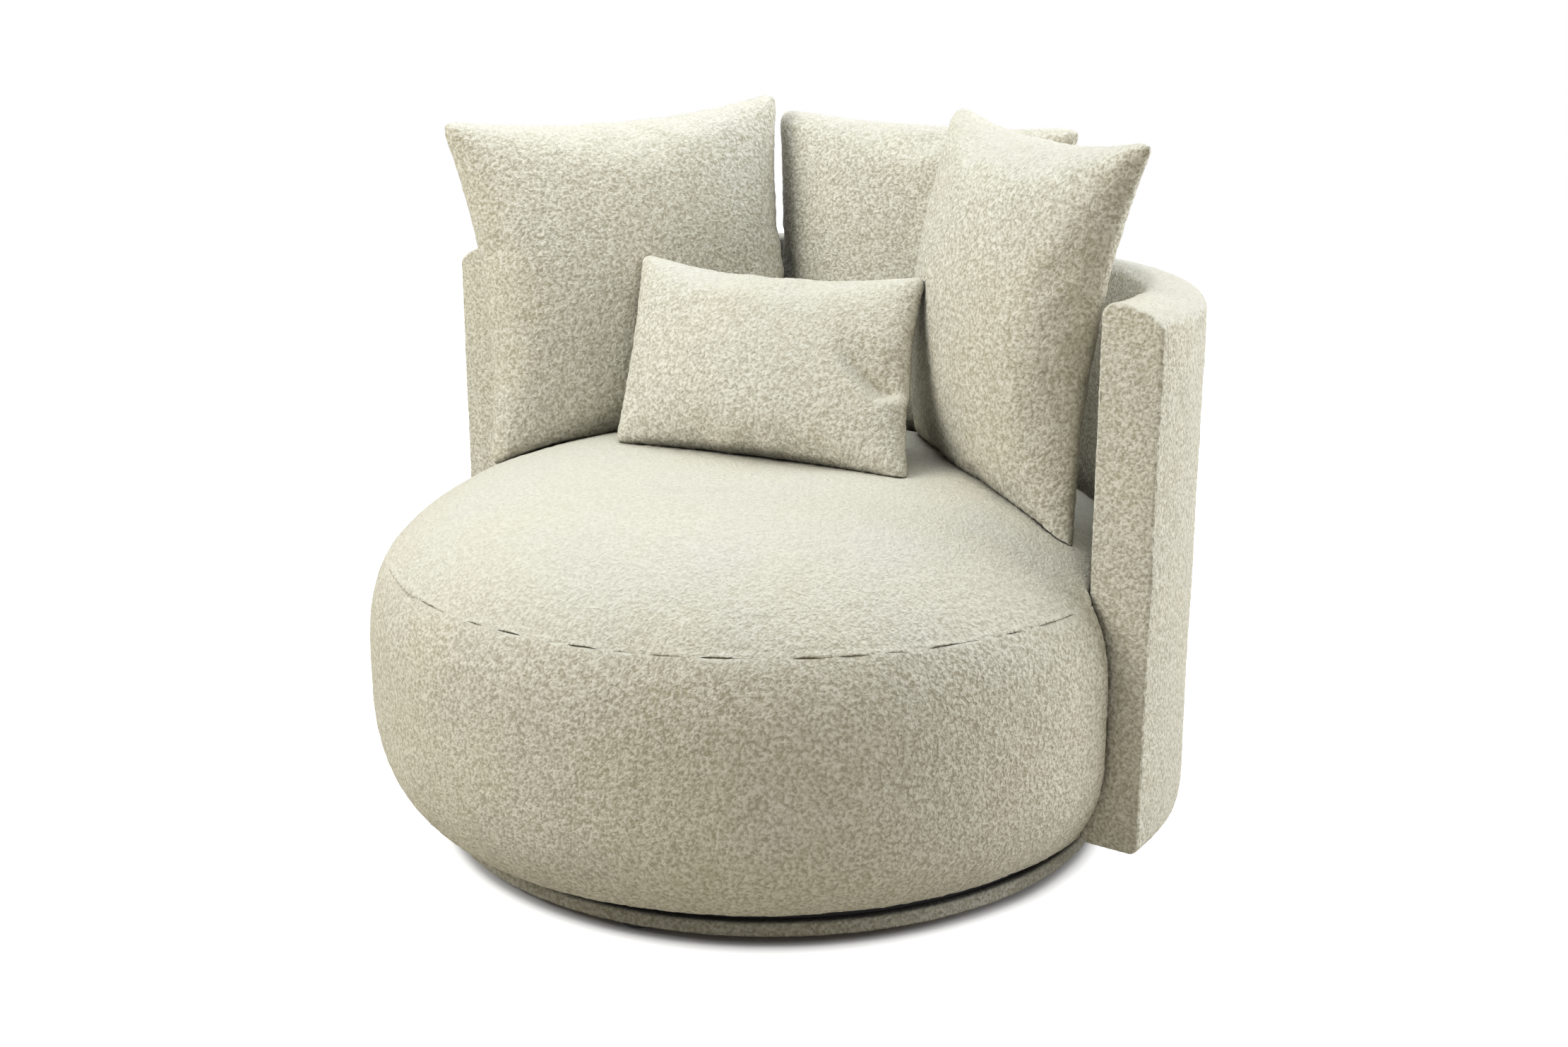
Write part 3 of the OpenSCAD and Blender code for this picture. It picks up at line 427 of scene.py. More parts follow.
def turned(sections, angles, centre_y, whole):
    """Points and faces of one closed section of r and z, or one for each angle, set round."""
    sections = np.broadcast_to(sections, (len(angles), *sections.shape[-2:]))
    columns, rows = sections.shape[:2]
    r, z = sections[:, :, 0], sections[:, :, 1]
    x = r * np.cos(angles)[:, None]
    y = centre_y + r * np.sin(angles)[:, None]
    points = np.stack([x, y, z], axis=2).reshape(-1, 3)
    faces = []
    for column in range(columns if whole else columns - 1):
        here = column * rows
        after = (column + 1) % columns * rows
        for row in range(rows):
            up = (row + 1) % rows
            faces.append((here + row, after + row, after + up, here + up))
    if not whole:
        faces.append(tuple(range(rows)))
        faces.append(tuple(reversed(range((columns - 1) * rows, columns * rows))))
    return points, faces


def spaced(line, gap):
    """Points at even gaps along a line of points, its two ends kept."""
    line = np.array(line, float)
    lengths = np.concatenate([[0], np.cumsum(np.linalg.norm(np.diff(line, axis=0), axis=1))])
    count = max(2, round(lengths[-1] / gap) + 1)
    at = np.linspace(0, lengths[-1], count)
    return np.stack([np.interp(at, lengths, line[:, i]) for i in range(line.shape[1])], axis=1)


def arc(centre, radius, start, end, count):
    """Points on an arc, from one angle to another in degrees."""
    turn = np.radians(np.linspace(start, end, count))
    return np.stack([centre[0] + radius * np.cos(turn), centre[1] + radius * np.sin(turn)], axis=1)


hoop_gap = 0.3 * mm
plinth_round = 4 * mm
plinth_drop = 23 * mm
plinth_proud = 8 * mm
plinth_lift = 2 * mm
plinth_gap = 4.5 * mm
plinth_pile = 0.7
band_r = plinth_r + plinth_proud
band_foot = plinth_low.z + plinth_lift
band_top = plinth_high.z - plinth_drop
plinth_section = np.concatenate([
    [(plinth_hoop_r + hoop_gap, band_foot)],
    arc((band_r - plinth_round, band_foot + plinth_round), plinth_round, 270, 350, 5),
    spaced([(band_r, band_foot + plinth_round), (band_r, band_top - plinth_round)], 3 * mm),
    arc((band_r - plinth_round, band_top - plinth_round), plinth_round, 10, 90, 5),
    [(plinth_hoop_r + hoop_gap, band_top)],
])
plinth_columns = round(2 * math.pi * band_r / plinth_gap)
plinth_angles = np.linspace(0, 2 * math.pi, plinth_columns, endpoint=False)
points, faces = turned(plinth_section, plinth_angles, 0, True)
plinth_piece = new_piece("plinth_band", points, faces, wool_boucle)
from_axis = np.hypot(points[:, 0], points[:, 1])
plinth_shares = np.where(from_axis > band_r - plinth_round, plinth_pile, 0.0)
raise_pile(plinth_piece, plinth_shares, sway=0.3)
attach(plinth_piece, "base")
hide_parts("plinth_cover")

# Seat frame
# Birch plywood again: a spacer on the bearing, the base board, a bent hoop, eight posts and a
# ring on top that carries the springs.
finish_nodes(
    birch_plywood, "spacer_board", "seat_base_board", "seat_frame_hoop", "seat_posts",
    "seat_top_ring")

# Springs
# Five zigzag springs of hardened wire, drawn and oil tempered, held by the clips.

# Oil tempered wire: a dark grey shine with lines along it from drawing, coarser than real.
draw_line = 0.5 * mm
tempered_wire, tree = new_material("oil_tempered_wire")
drawn = add_node(tree, "TexNoise", {}, {
    "Vector": surface_place(tree, (1, 0.1, 1)), "Scale": 1 / draw_line, "Detail": 2})
wire_colour = add_node(tree, "Mix", {"data_type": "RGBA"}, {
    mix_share: drawn.outputs[0],
    mix_first: linear("#6a6d70"), mix_second: linear("#94979a")}).outputs[mix_result]
wire_face = add_node(tree, "BsdfPrincipled", {}, {
    "Base Color": wire_colour, "Metallic": 1.0, "Roughness": 0.4})
add_node(tree, "OutputMaterial", {}, {"Surface": wire_face.outputs[0]})
finish_nodes(tempered_wire, "seat_springs")

# Felt over the springs
# A needled grey felt pad, 4 mm thick, that keeps the foam off the wire and dips a little
# between the springs.

# Needled felt: matt and mottled, with the tangle of its fibres 1.2 mm wide.
fibre = 1.2 * mm
needled_felt, tree = new_material("needled_felt")
fibres = add_node(tree, "TexNoise", {}, {
    "Vector": surface_place(tree), "Scale": 1 / fibre, "Detail": 5, "Distortion": 2})
felt_tone = add_node(tree, "MapRange", {"interpolation_type": "SMOOTHSTEP"}, {
    "Value": fibres.outputs[0], "From Min": 0.3, "From Max": 0.7}).outputs[0]
felt_colour = add_node(tree, "Mix", {"data_type": "RGBA"}, {
    mix_share: felt_tone,
    mix_first: linear("#6f6c66"), mix_second: linear("#9b978f")}).outputs[mix_result]
felt_bump = add_node(tree, "Bump", {}, {
    "Strength": 0.6, "Distance": 0.5 * mm, "Height": fibres.outputs[0]})
felt_face = add_node(tree, "BsdfPrincipled", {}, {
    "Base Color": felt_colour, "Roughness": 1.0, "IOR": 1.5, "Normal": felt_bump.outputs[0]})
add_node(tree, "OutputMaterial", {}, {"Surface": felt_face.outputs[0]})
disc_rings = 24
disc_columns = 120


def flat_disc(name, node, inner_r, dip, material):
    """A thin round sheet with a hole or none, that dips between its edges."""
    low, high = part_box(node)
    outer_r = (high.x - low.x) / 2
    middle_y = (high.y + low.y) / 2
    edge = min(0.4 * mm, (high.z - low.z) / 3)
    rings = np.linspace(inner_r, outer_r, disc_rings)
    sag = dip * np.sin(np.pi * (rings - inner_r) / (outer_r - inner_r)) ** 2
    top = np.stack([rings, high.z - sag], axis=1)
    foot = np.stack([rings, low.z - sag], axis=1)[::-1]
    top[[0, -1], 1] -= edge
    foot[[0, -1], 1] += edge
    section = np.concatenate([foot, top])
    angles = np.linspace(0, 2 * math.pi, disc_columns, endpoint=False)
    made, sides = turned(section, angles, middle_y, True)
    piece = new_piece(name, made, sides, material)
    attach(piece, "seat")
    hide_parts(node)
    return piece


felt_piece = flat_disc("felt_pad", "spring_felt", 2 * mm, 1.5 * mm, needled_felt)

# Dust cover
# Black spun cloth stapled under the base board, round the spacer.

# Spun polypropylene: nearly black and matt, with the small dimples that bond it.
spun_cell = 1.5 * mm
spun_cloth, tree = new_material("black_spun_cloth")
spun = add_node(tree, "TexVoronoi", {}, {"Vector": surface_place(tree), "Scale": 1 / spun_cell})
spun_colour = add_node(tree, "Mix", {"data_type": "RGBA"}, {
    mix_share: spun.outputs["Distance"],
    mix_first: linear("#0f0f0f"), mix_second: linear("#242424")}).outputs[mix_result]
spun_bump = add_node(tree, "Bump", {}, {
    "Strength": 0.5, "Distance": 0.1 * mm, "Height": spun.outputs["Distance"]})
spun_face = add_node(tree, "BsdfPrincipled", {}, {
    "Base Color": spun_colour, "Roughness": 0.85, "IOR": 1.5, "Normal": spun_bump.outputs[0]})
add_node(tree, "OutputMaterial", {}, {"Surface": spun_face.outputs[0]})
spacer_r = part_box("spacer_board")[1].x
dust_piece = flat_disc("dust_cloth", "dust_cover", spacer_r + 21 * mm, 0.8 * mm, spun_cloth)

# Seat side
# A band of boucle over foam wrapped round the hoop. It swells out to its widest 215 mm above
# the floor, is turned in under the base board, and ends at the sewn seam with the top panel.
side_low, side_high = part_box("seat_side_cover")
top_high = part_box("seat_top_cover")[1]
shell_low, shell_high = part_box("shell_cover")
upper_y = shell_high.y - shell_high.x
seat_wide_r = side_high.x
seat_wide_z = 215 * mm
seat_bottom_r = 462 * mm
seat_bottom_z = side_low.z + cloth_t
seam_z = side_high.z
seam_r = top_high.x
rear_r = top_high.y - upper_y
hoop_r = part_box("seat_frame_hoop")[1].x
foam_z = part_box("seat_foam")[0].z
low_exponent = 3
top_exponent = 3.6
bulge_round = 14 * mm
seam_depth = 4 * mm
seat_gap = 4.5 * mm
face_rows = 76
rear_columns = 90


def side_radius(z):
    """Radius of the seat's side at a height."""
    below = seat_wide_r - (seat_wide_r - seat_bottom_r) * np.clip(
        (seat_wide_z - z) / (seat_wide_z - seat_bottom_z), 0, 1) ** low_exponent
    above = seat_wide_r - (seat_wide_r - seam_r) * np.clip(
        (z - seat_wide_z) / (seam_z - seat_wide_z), 0, 1) ** top_exponent
    return np.where(z < seat_wide_z, below, above)


def fullness(angle):
    """How far the seat stands out past the shell: 1 in front, 0 in the tub, rounded between."""
    ahead = -seam_r * np.sin(angle)
    near = np.clip(ahead / bulge_round, 0, 1)
    return np.sqrt(1 - (1 - near) ** 2)


def held_in(r, full):
    """A radius of the seat, held in to the tub's where the seat isn't full."""
    return np.where(r > rear_r, rear_r + (r - rear_r) * full, r)


def seam_open(angle):
    """How open the seam's groove shows: mostly closed by the pile, from 0 to 1 round the seat."""
    along = np.sin(23 * angle) + np.sin(37 * angle + 1) + np.sin(61 * angle + 2)
    return np.clip(0.15 + 0.55 * along, 0.04, 1)


def side_section(full, gap):
    """The side's closed section, from the seam down, in under the board and up inside."""
    rim = held_in(seam_r, full)
    heights = np.linspace(
        seam_z - 0.1 * mm - 2.1 * mm * gap, seat_bottom_z + 2 * mm, face_rows)
    face = np.stack([held_in(side_radius(heights), full), heights], axis=1)
    under_z = seat_bottom_z - cloth_t
    # The seam's lip, the face, the foot turned in under the board, and back up along the hoop
    return np.concatenate([
        [(rim - seam_depth, seam_z - 0.3 * mm), (rim - 2 * mm, seam_z - 0.4 * mm * gap)],
        [(rim - 0.5 * mm * gap, seam_z - 1 * mm * gap)],
        face,
        [(seat_bottom_r - 1.5 * mm, seat_bottom_z - 1 * mm)],
        [(seat_bottom_r - 4.5 * mm, under_z + 0.3 * mm)],
        [(hoop_r + 2 * mm, under_z), (hoop_r - 3 * mm, under_z)],
        [(hoop_r - 3 * mm, seat_bottom_z - 0.2 * mm), (hoop_r + hoop_gap, seat_bottom_z)],
        [(hoop_r + hoop_gap, foam_z - 1 * mm), (rim - seam_depth - 2 * mm, seam_z - 3 * mm)],
    ])


# Columns lie closer where the side turns in past the arms, and wide apart inside the tub
front_columns = round(math.pi * seat_wide_r / seat_gap)
front_angles = np.linspace(math.pi, 2 * math.pi, front_columns)[3:-3]
near_arm = np.array([0, 0.4, 1.2, 2.5, 4.5, 7, 10]) * mm / seam_r
front_angles = np.concatenate([math.pi + near_arm, front_angles, 2 * math.pi - near_arm[::-1]])
rear_angles = np.linspace(0, math.pi, rear_columns)[1:-1]
side_angles = np.concatenate([front_angles, rear_angles])
side_sections = np.array([
    side_section(full, gap) for full, gap in zip(fullness(side_angles), seam_open(side_angles))])
points, faces = turned(side_sections, side_angles, upper_y, True)
seat_side = new_piece("seat_side_band", points, faces, wool_boucle)
# The pile starts at the seam's lip and ends where the cloth is turned in under the board
side_share = np.zeros(side_sections.shape[1])
side_share[2:face_rows + 6] = 1
in_front = (points[:, 1] < upper_y - 1 * mm).astype(float)
raise_pile(seat_side, np.tile(side_share, len(side_angles)) * in_front)
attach(seat_side, "seat")
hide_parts("seat_side_cover", "side_foam")

# Seat top
# A round domed panel of boucle over a thick foam block, sewn to the side band all round. The
# dome is nearly flat in the middle and turns down steeply towards the seam.
crown_z = top_high.z
dome_exponent = 4.4
rim_roll = 7 * mm
rim_exponent = 28
top_rings = 110
curl_rings = 5
grid_row = 2 * top_rings + 1
dome_steps = 200


def dome_height(r):
    """Height of the domed top at a distance from the seat's centre."""
    out = np.minimum(r, seam_r) / seam_r
    dome = (crown_z - seam_z - rim_roll) * (1 - out ** dome_exponent)
    return seam_z + dome + rim_roll * (1 - out ** rim_exponent)


def top_section(full, gap):
    """The top's section from its centre to the groove of the seam."""
    rim = float(held_in(seam_r, full))
    edge = rim - 3 * mm
    r = np.linspace(0, 1, dome_steps)
    dome = np.stack([edge * r, dome_height(edge * r)], axis=1)
    fine = spaced(dome, 1 * mm)
    at = np.linspace(0, len(fine) - 1, top_rings - curl_rings + 1).round().astype(int)
    shoulder = max(float(dome_height(rim)) - 3 * mm, seam_z + 0.1 * mm + 1.5 * mm * gap)
    return np.concatenate([
        fine[at],
        [(rim - 0.6 * mm, (float(dome_height(edge)) + shoulder) / 2 + 0.3 * mm), (rim, shoulder)],
        [(rim - 0.5 * mm * gap, seam_z + 0.9 * mm * gap), (rim - 2 * mm, seam_z + 0.4 * mm * gap)],
        [(rim - seam_depth, seam_z + 0.3 * mm)],
    ])


def ring_index(ring, step):
    """Index of the grid's point at a step round a square ring, from the +X side towards +Y."""
    side, along = divmod(step + ring, max(2 * ring, 1))
    along -= ring
    column, row = ((ring, along), (-along, ring), (-ring, -along), (along, -ring))[side % 4]
    return (column + top_rings) * grid_row + row + top_rings


# The dome is a square grid whose rings are drawn out to circles
points = np.zeros((grid_row ** 2, 3))
shares = np.ones(grid_row ** 2)
sections_at = {}
for ring in range(top_rings + 1):
    count = max(8 * ring, 1)
    for step in range(count):
        angle = 2 * math.pi * step / count
        key = round(float(fullness(angle)), 3), round(float(seam_open(angle)), 2)
        if key not in sections_at:
            sections_at[key] = top_section(*key)
        r, z = sections_at[key][ring]
        index = ring_index(ring, step)
        points[index] = (r * math.cos(angle), upper_y + r * math.sin(angle), z)
        shares[index] = ring < top_rings - 1
faces = [
    (i * grid_row + j, (i + 1) * grid_row + j, (i + 1) * grid_row + j + 1, i * grid_row + j + 1)
    for i in range(2 * top_rings) for j in range(2 * top_rings)
]
# Under the panel the foam block runs in to the felt, with the last ring's count of points
foam_foot_z = foam_z + 0.5 * mm
round_angles = np.linspace(0, 2 * math.pi, count, endpoint=False)
tucked_r = held_in(seam_r, fullness(round_angles)) - seam_depth - 3 * mm
across, ahead = np.cos(round_angles), np.sin(round_angles)
under = [
    np.stack([r * across, upper_y + r * ahead, np.full(count, z)], axis=1)
    for r, z in ((tucked_r, seam_z - 2 * mm), (hoop_r - 1 * mm, foam_foot_z))
]
rim_loop = [ring_index(top_rings, step) for step in range(count)]
first = len(points)
last = first + 2 * count
for step in range(count):
    after = (step + 1) % count
    faces.append((rim_loop[after], rim_loop[step], first + step, first + after))
    faces.append((first + after, first + step, first + count + step, first + count + after))
    faces.append((first + count + after, first + count + step, last))
points = np.concatenate([points, *under, [(0, upper_y, foam_foot_z)]])
shares = np.concatenate([shares, np.zeros(2 * count + 1)])
seat_top = new_piece("seat_top_panel", points, faces, wool_boucle)
raise_pile(seat_top, shares)
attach(seat_top, "seat")
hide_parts("seat_top_cover", "seat_foam")

# Shell frame
# Two bent plywood panels on posts and rails, with a board across each end behind the arm
# fronts. Bolts from inside the seat frame hold it to the seat.
finish_nodes(
    birch_plywood, "shell_inner_panel", "shell_outer_panel", "shell_posts", "shell_top_rail",
    "shell_bottom_rail", "arm_boards")

# Shell
# One half round wall that is back and armrests in one: foam over the frame, and boucle drawn
# over its inner face, its rounded top and its outer face, tacked underneath.
arm_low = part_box("right_arm_cover")[0]
shell_outer_r = shell_high.x
shell_inner_r = arm_low.x
arm_face_y = arm_low.y
crown_rise = 6 * mm
slope_wide = 56 * mm
slope_high = 26 * mm
slope_exponent = 1.6
inner_round = 16 * mm
foot_round = 12 * mm
hidden_rows = 9
inner_rows = 62
outer_rows = 122


def wall_sizes(inset):
    """The wall's inner and outer radius, foot, top, roundings and slope, drawn in by an inset."""
    return (
        shell_inner_r + inset, shell_outer_r - inset,
        shell_low.z + inset, shell_high.z + crown_rise - inset,
        foot_round - inset, inner_round - inset, slope_wide - inset, slope_high - inset)


def shell_section(inset):
    """The wall's closed section, drawn in by an inset, from the inner foot up and over."""
    x0, x1, z0, z1, foot, top_in, wide, high = wall_sizes(inset)
    hidden_z = seam_z + 20 * mm
    quarter = np.abs(arc((0, 0), 1, 90, 0, 16)[1:]) ** (2 / slope_exponent)
    slope = quarter * (wide, high) + (x1 - wide, z1 - high)
    return np.concatenate([
        np.linspace((x0, z0 + foot), (x0, hidden_z), hidden_rows),
        np.linspace((x0, hidden_z), (x0, z1 - top_in), inner_rows + 1)[1:],
        arc((x0 + top_in, z1 - top_in), top_in, 180, 90, 8)[1:],
        np.linspace((x0 + top_in, z1), (x1 - wide, z1), 4)[1:],
        slope,
        np.linspace((x1, z1 - high), (x1, z0 + foot), outer_rows + 1)[1:],
        arc((x1 - foot, z0 + foot), foot, 0, -90, 5)[1:],
        np.linspace((x1 - foot, z0), (x0 + foot, z0), 7)[1:],
        arc((x0 + foot, z0 + foot), foot, 270, 180, 5)[1:-1],
    ])


# Columns lie closer where the wall's ends round over to the arm fronts
edge_round = 3.5 * mm
edge_steps = np.array([0, 0.5, 1.4, 2.5, 3.5])
shell_gap = 5 * mm
shell_turns = round(math.pi * shell_outer_r / shell_gap)
seam_y = arm_face_y + 1.5 * mm
first_angle = (seam_y - upper_y) / shell_outer_r
turns = np.linspace(first_angle, math.pi - first_angle, shell_turns)
edge_angles = first_angle + edge_steps * mm / shell_outer_r
shell_angles = np.concatenate([edge_angles, turns[2:-2], math.pi - edge_angles[::-1]])
from_edge = np.minimum(shell_angles - first_angle, math.pi - first_angle - shell_angles)
from_edge *= shell_outer_r
lacking = np.clip(1 - from_edge / edge_round, 0, 1)
shell_insets = edge_round * (1 - np.sqrt(1 - lacking ** 2))
shell_sections = np.array([shell_section(inset) for inset in shell_insets])
points, faces = turned(shell_sections, shell_angles, upper_y, False)
shell_piece = new_piece("shell_band", points, faces, wool_boucle)
shell_share = np.ones(shell_sections.shape[1])
shell_share[:hidden_rows - 1] = 0
raise_pile(shell_piece, np.tile(shell_share, len(shell_angles)))
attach(shell_piece, "seat")
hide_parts("shell_cover", "shell_padding")

# Arm fronts
# The flat ends of the shell: a narrow panel of boucle over a foam pad, its edge sewn to the
# shell's cover all round, so that a seam runs along the corner.
arm_columns = 20
arm_rows = 149
end_rows = 7
end_share = 0.03
end_steepness = 12
panel_crown = 1.5 * mm
# How far the sewn edge stands out and lies back from the panel's rim, ring by ring in mm. Its
# last rings are tucked in behind the shell's cover and carry no pile.
sewn_edge = ((2.2, 0.5), (3.2, 1.6), (2.6, 2.9), (0.5, 3.6), (-1.5, 8))
tucked_rings = 3


def cut_back(across, up, past, exponent=2):
    """How far a rounded corner cuts an edge back, past the height where its rounding starts."""
    past = min(max(past / up, 0), 1)
    return across * (1 - (1 - past ** exponent) ** (1 / exponent))


def arm_edges(z, inset):
    """The arm front's two edges at a height, drawn in by an inset."""
    x0, x1, z0, z1, foot, top_in, wide, high = wall_sizes(inset)
    at_foot = cut_back(foot, foot, z0 + foot - z)
    left = max(at_foot, cut_back(top_in, top_in, z - (z1 - top_in)))
    right = max(at_foot, cut_back(wide, high, z - (z1 - high), slope_exponent))
    return x0 + left, x1 - right


def arm_panel(side):
    """Points, faces and pile shares of an arm front on one side of the chair."""
    made = []
    foot_z = shell_low.z + edge_round
    head_z = shell_high.z + crown_rise - edge_round
    near_end = end_share * (1 - np.cos(np.linspace(0, math.pi / 2, end_rows)))
    spread = np.concatenate([
        near_end, np.linspace(end_share, 1 - end_share, arm_rows)[1:-1], 1 - near_end[::-1]])
    for share in spread:
        z = foot_z + share * (head_z - foot_z)
        x0, x1 = arm_edges(z, edge_round)
        fullest = panel_crown * min(1, end_steepness * share, end_steepness * (1 - share))
        for step in range(arm_columns + 1):
            across = step / arm_columns
            rise = fullest * (1 - (2 * across - 1) ** 2)
            made.append((x0 + (x1 - x0) * across, arm_face_y - rise, z))
    rows_made = len(spread)
    wide = arm_columns + 1
    sides = [
        (i * wide + j, i * wide + j + 1, (i + 1) * wide + j + 1, (i + 1) * wide + j)
        for i in range(rows_made - 1) for j in range(arm_columns)
    ]
    loop = (
        list(range(arm_columns))
        + [i * wide + arm_columns for i in range(rows_made - 1)]
        + [(rows_made - 1) * wide + j for j in range(arm_columns, 0, -1)]
        + [i * wide for i in range(rows_made - 1, 0, -1)]
    )
    outline = np.array([made[k] for k in loop])
    tangent = np.roll(outline, -1, axis=0) - np.roll(outline, 1, axis=0)
    outward = np.stack([tangent[:, 2], np.zeros(len(loop)), -tangent[:, 0]], axis=1)
    outward /= np.linalg.norm(outward, axis=1)[:, None] + 1e-12
    previous = loop
    for out, back in sewn_edge:
        ring_now = list(range(len(made), len(made) + len(loop)))
        made.extend(map(tuple, outline + outward * out * mm + np.array([0, back * mm, 0])))
        for here in range(len(loop)):
            after = (here + 1) % len(loop)
            sides.append((previous[after], previous[here], ring_now[here], ring_now[after]))
        previous = ring_now
    sides.append(tuple(previous))
    made = np.array(made)
    shares = np.ones(len(made))
    shares[-tucked_rings * len(loop):] = 0
    made[:, 0] *= side
    if side < 0:
        sides = [tuple(reversed(face)) for face in sides]
    return made, sides, shares


for side, name in ((1, "right"), (-1, "left")):
    points, faces, shares = arm_panel(side)
    arm_piece = new_piece(f"{name}_arm_front", points, faces, wool_boucle)
    raise_pile(arm_piece, shares, sway=0.3)
    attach(arm_piece, "seat")
    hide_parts(f"{name}_arm_cover", "arm_pads")

# Shell bottom cloth
# The same black spun cloth closes the shell underneath.
bottom_low, bottom_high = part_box("shell_bottom_cloth")
cloth_inset = 18.3 * mm
bottom_rings = 9
bottom_columns = 60
cloth_rings = np.linspace(shell_inner_r + cloth_inset, shell_outer_r - cloth_inset, bottom_rings)
cloth_dip = 0.6 * mm * np.sin(np.pi * np.linspace(0, 1, bottom_rings))
cloth_section = np.concatenate([
    np.stack([cloth_rings, bottom_low.z - cloth_dip], axis=1),
    np.stack([cloth_rings, bottom_high.z - cloth_dip], axis=1)[::-1],
])
cloth_start = math.asin((bottom_low.y - upper_y) / shell_outer_r)
cloth_angles = np.linspace(cloth_start, math.pi / 2, bottom_columns)
cloth_angles = np.concatenate([cloth_angles, math.pi - cloth_angles[:-1][::-1]])
points, faces = turned(cloth_section, cloth_angles, upper_y, False)
bottom_piece = new_piece("shell_bottom", points, faces, spun_cloth)
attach(bottom_piece, "seat")
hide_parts("shell_bottom_cloth")

# Pillows
# Four loose pillows: two panels of boucle sewn together at a plain edge, turned and stuffed
# with fibre. Their corners stay thin and stand out, their sides pull in between the corners.

# Sizes in mm and angles in degrees. "front" is the share of the thickness before the seam,
# "towards" and "back" are where the middle leans and how far from the shell, "sink" is how deep
# the pillow sits in the seat, "pulls" are how far its left, right, top and bottom are drawn in,
# and "corners" are its upper and lower corners. "stuffing" and "stiffness" steer the cloth.
pillows = {
    "left": {
        "width": 490, "height": 485, "thick": 147, "front": 0.57, "stuffing": 4, "stiffness": 2,
        "turn": 57.7, "lean": 11.5, "roll": 3.2, "towards": 158.3, "back": 111.3, "sink": 37.7,
        "corners": ((-255, 243, 0), (261, 250, 0), (-251, -255, 0), (253, -251, 0)),
        "pulls": (32, 27, 26, 8)},
    "middle": {
        "width": 480, "height": 480, "thick": 126, "front": 0.57, "stuffing": 3.5, "stiffness": 2,
        "turn": 0.9, "lean": 2.3, "roll": -1.4, "towards": 93.6, "back": 86.7, "sink": 55.2,
        "corners": ((-254, 243, 0), (261, 238, 0), (-222, -242, 0), (216, -242, 0)),
        "pulls": (12, 40, 12, 8)},
    "right": {
        "width": 480, "height": 480, "thick": 122, "front": 0.76, "stuffing": 4, "stiffness": 2,
        "turn": -34.2, "lean": 5.2, "roll": -4.2, "towards": 32.9, "back": 149.5, "sink": 33.2,
        "corners": ((-265, 224, 0), (268, 238, 0), (-242, -244, 0), (234, -272, 0)),
        "pulls": (22, 62, 26, 0)},
    "lumbar": {
        "width": 425, "height": 262, "thick": 106, "front": 0.57, "stuffing": 5, "stiffness": 3,
        "turn": 10.3, "lean": 23.2, "roll": 0.5, "towards": 121, "back": 384.6, "sink": 3,
        "corners": ((-229, 139, 0), (208, 125, 0), (-201, -149, 26), (249, -167, 48)),
        "pulls": (8, 14, 22, 8)},
}
# How the cloth holds while it is stuffed, and how its shape is then evened and its rim blunted
cloth_gap = 10.5 * mm
stuffing_steps = 25
stretch_hold = 40
shear_hold = 13
air_hold = 10
crown_exponent = 0.55
drawn_in = 0.11
side_exponent = 2.4
seam_blunt = 5 * mm
ear_blunt = 5 * mm
ear_exponent = 8
rim_steepness = 14
corner_round = 0.16
bend_kept = 0.3
evened = 0.6
straightened = 0.93
seam_groove = 1.5 * mm
clear_of_seat = 1.2 * mm
clear_of_shell = 3 * mm
free_above = 30 * mm
free_over = 60 * mm


def pillow_place(pillow):
    """Where a pillow leans, as a matrix from its own axes: X across, Y up, Z to the front."""
    lean = math.radians(pillow["lean"])
    towards = math.radians(pillow["towards"])
    reach = shell_inner_r - pillow["back"] * mm
    lift = pillow["height"] * mm / 2 * math.cos(lean) - pillow["sink"] * mm
    middle = (reach * math.cos(towards), upper_y + reach * math.sin(towards), crown_z + lift)
    return (
        Matrix.Translation(middle)
        @ Matrix.Rotation(math.radians(pillow["turn"]), 4, "Z")
        @ Matrix.Rotation(math.pi / 2 - lean, 4, "X")
        @ Matrix.Rotation(math.radians(pillow["roll"]), 4, "Z")
    )


def sewn_panels(columns, rows):
    """Places from -1 to 1, side by side, and the faces of two panels sewn at their rim."""
    u, v = np.meshgrid(np.linspace(-1, 1, columns + 1), np.linspace(-1, 1, rows + 1), indexing="ij")
    u, v = u.ravel(), v.ravel()
    rim = (np.abs(u) == 1) | (np.abs(v) == 1)
    front = np.arange(len(u)).reshape(columns + 1, rows + 1)
    back = np.arange(len(u))
    back[~rim] = len(u) + np.arange((~rim).sum())
    back = back.reshape(columns + 1, rows + 1)
    faces = []
    for i in range(columns):
        for j in range(rows):
            for grid, order in ((front, (0, 1, 2, 3)), (back, (0, 3, 2, 1))):
                square = (grid[i, j], grid[i + 1, j], grid[i + 1, j + 1], grid[i, j + 1])
                faces.append(tuple(int(square[k]) for k in order))
    side = np.concatenate([np.where(rim, 0, 1), -np.ones((~rim).sum())])
    return np.concatenate([u, u[~rim]]), np.concatenate([v, v[~rim]]), side, faces


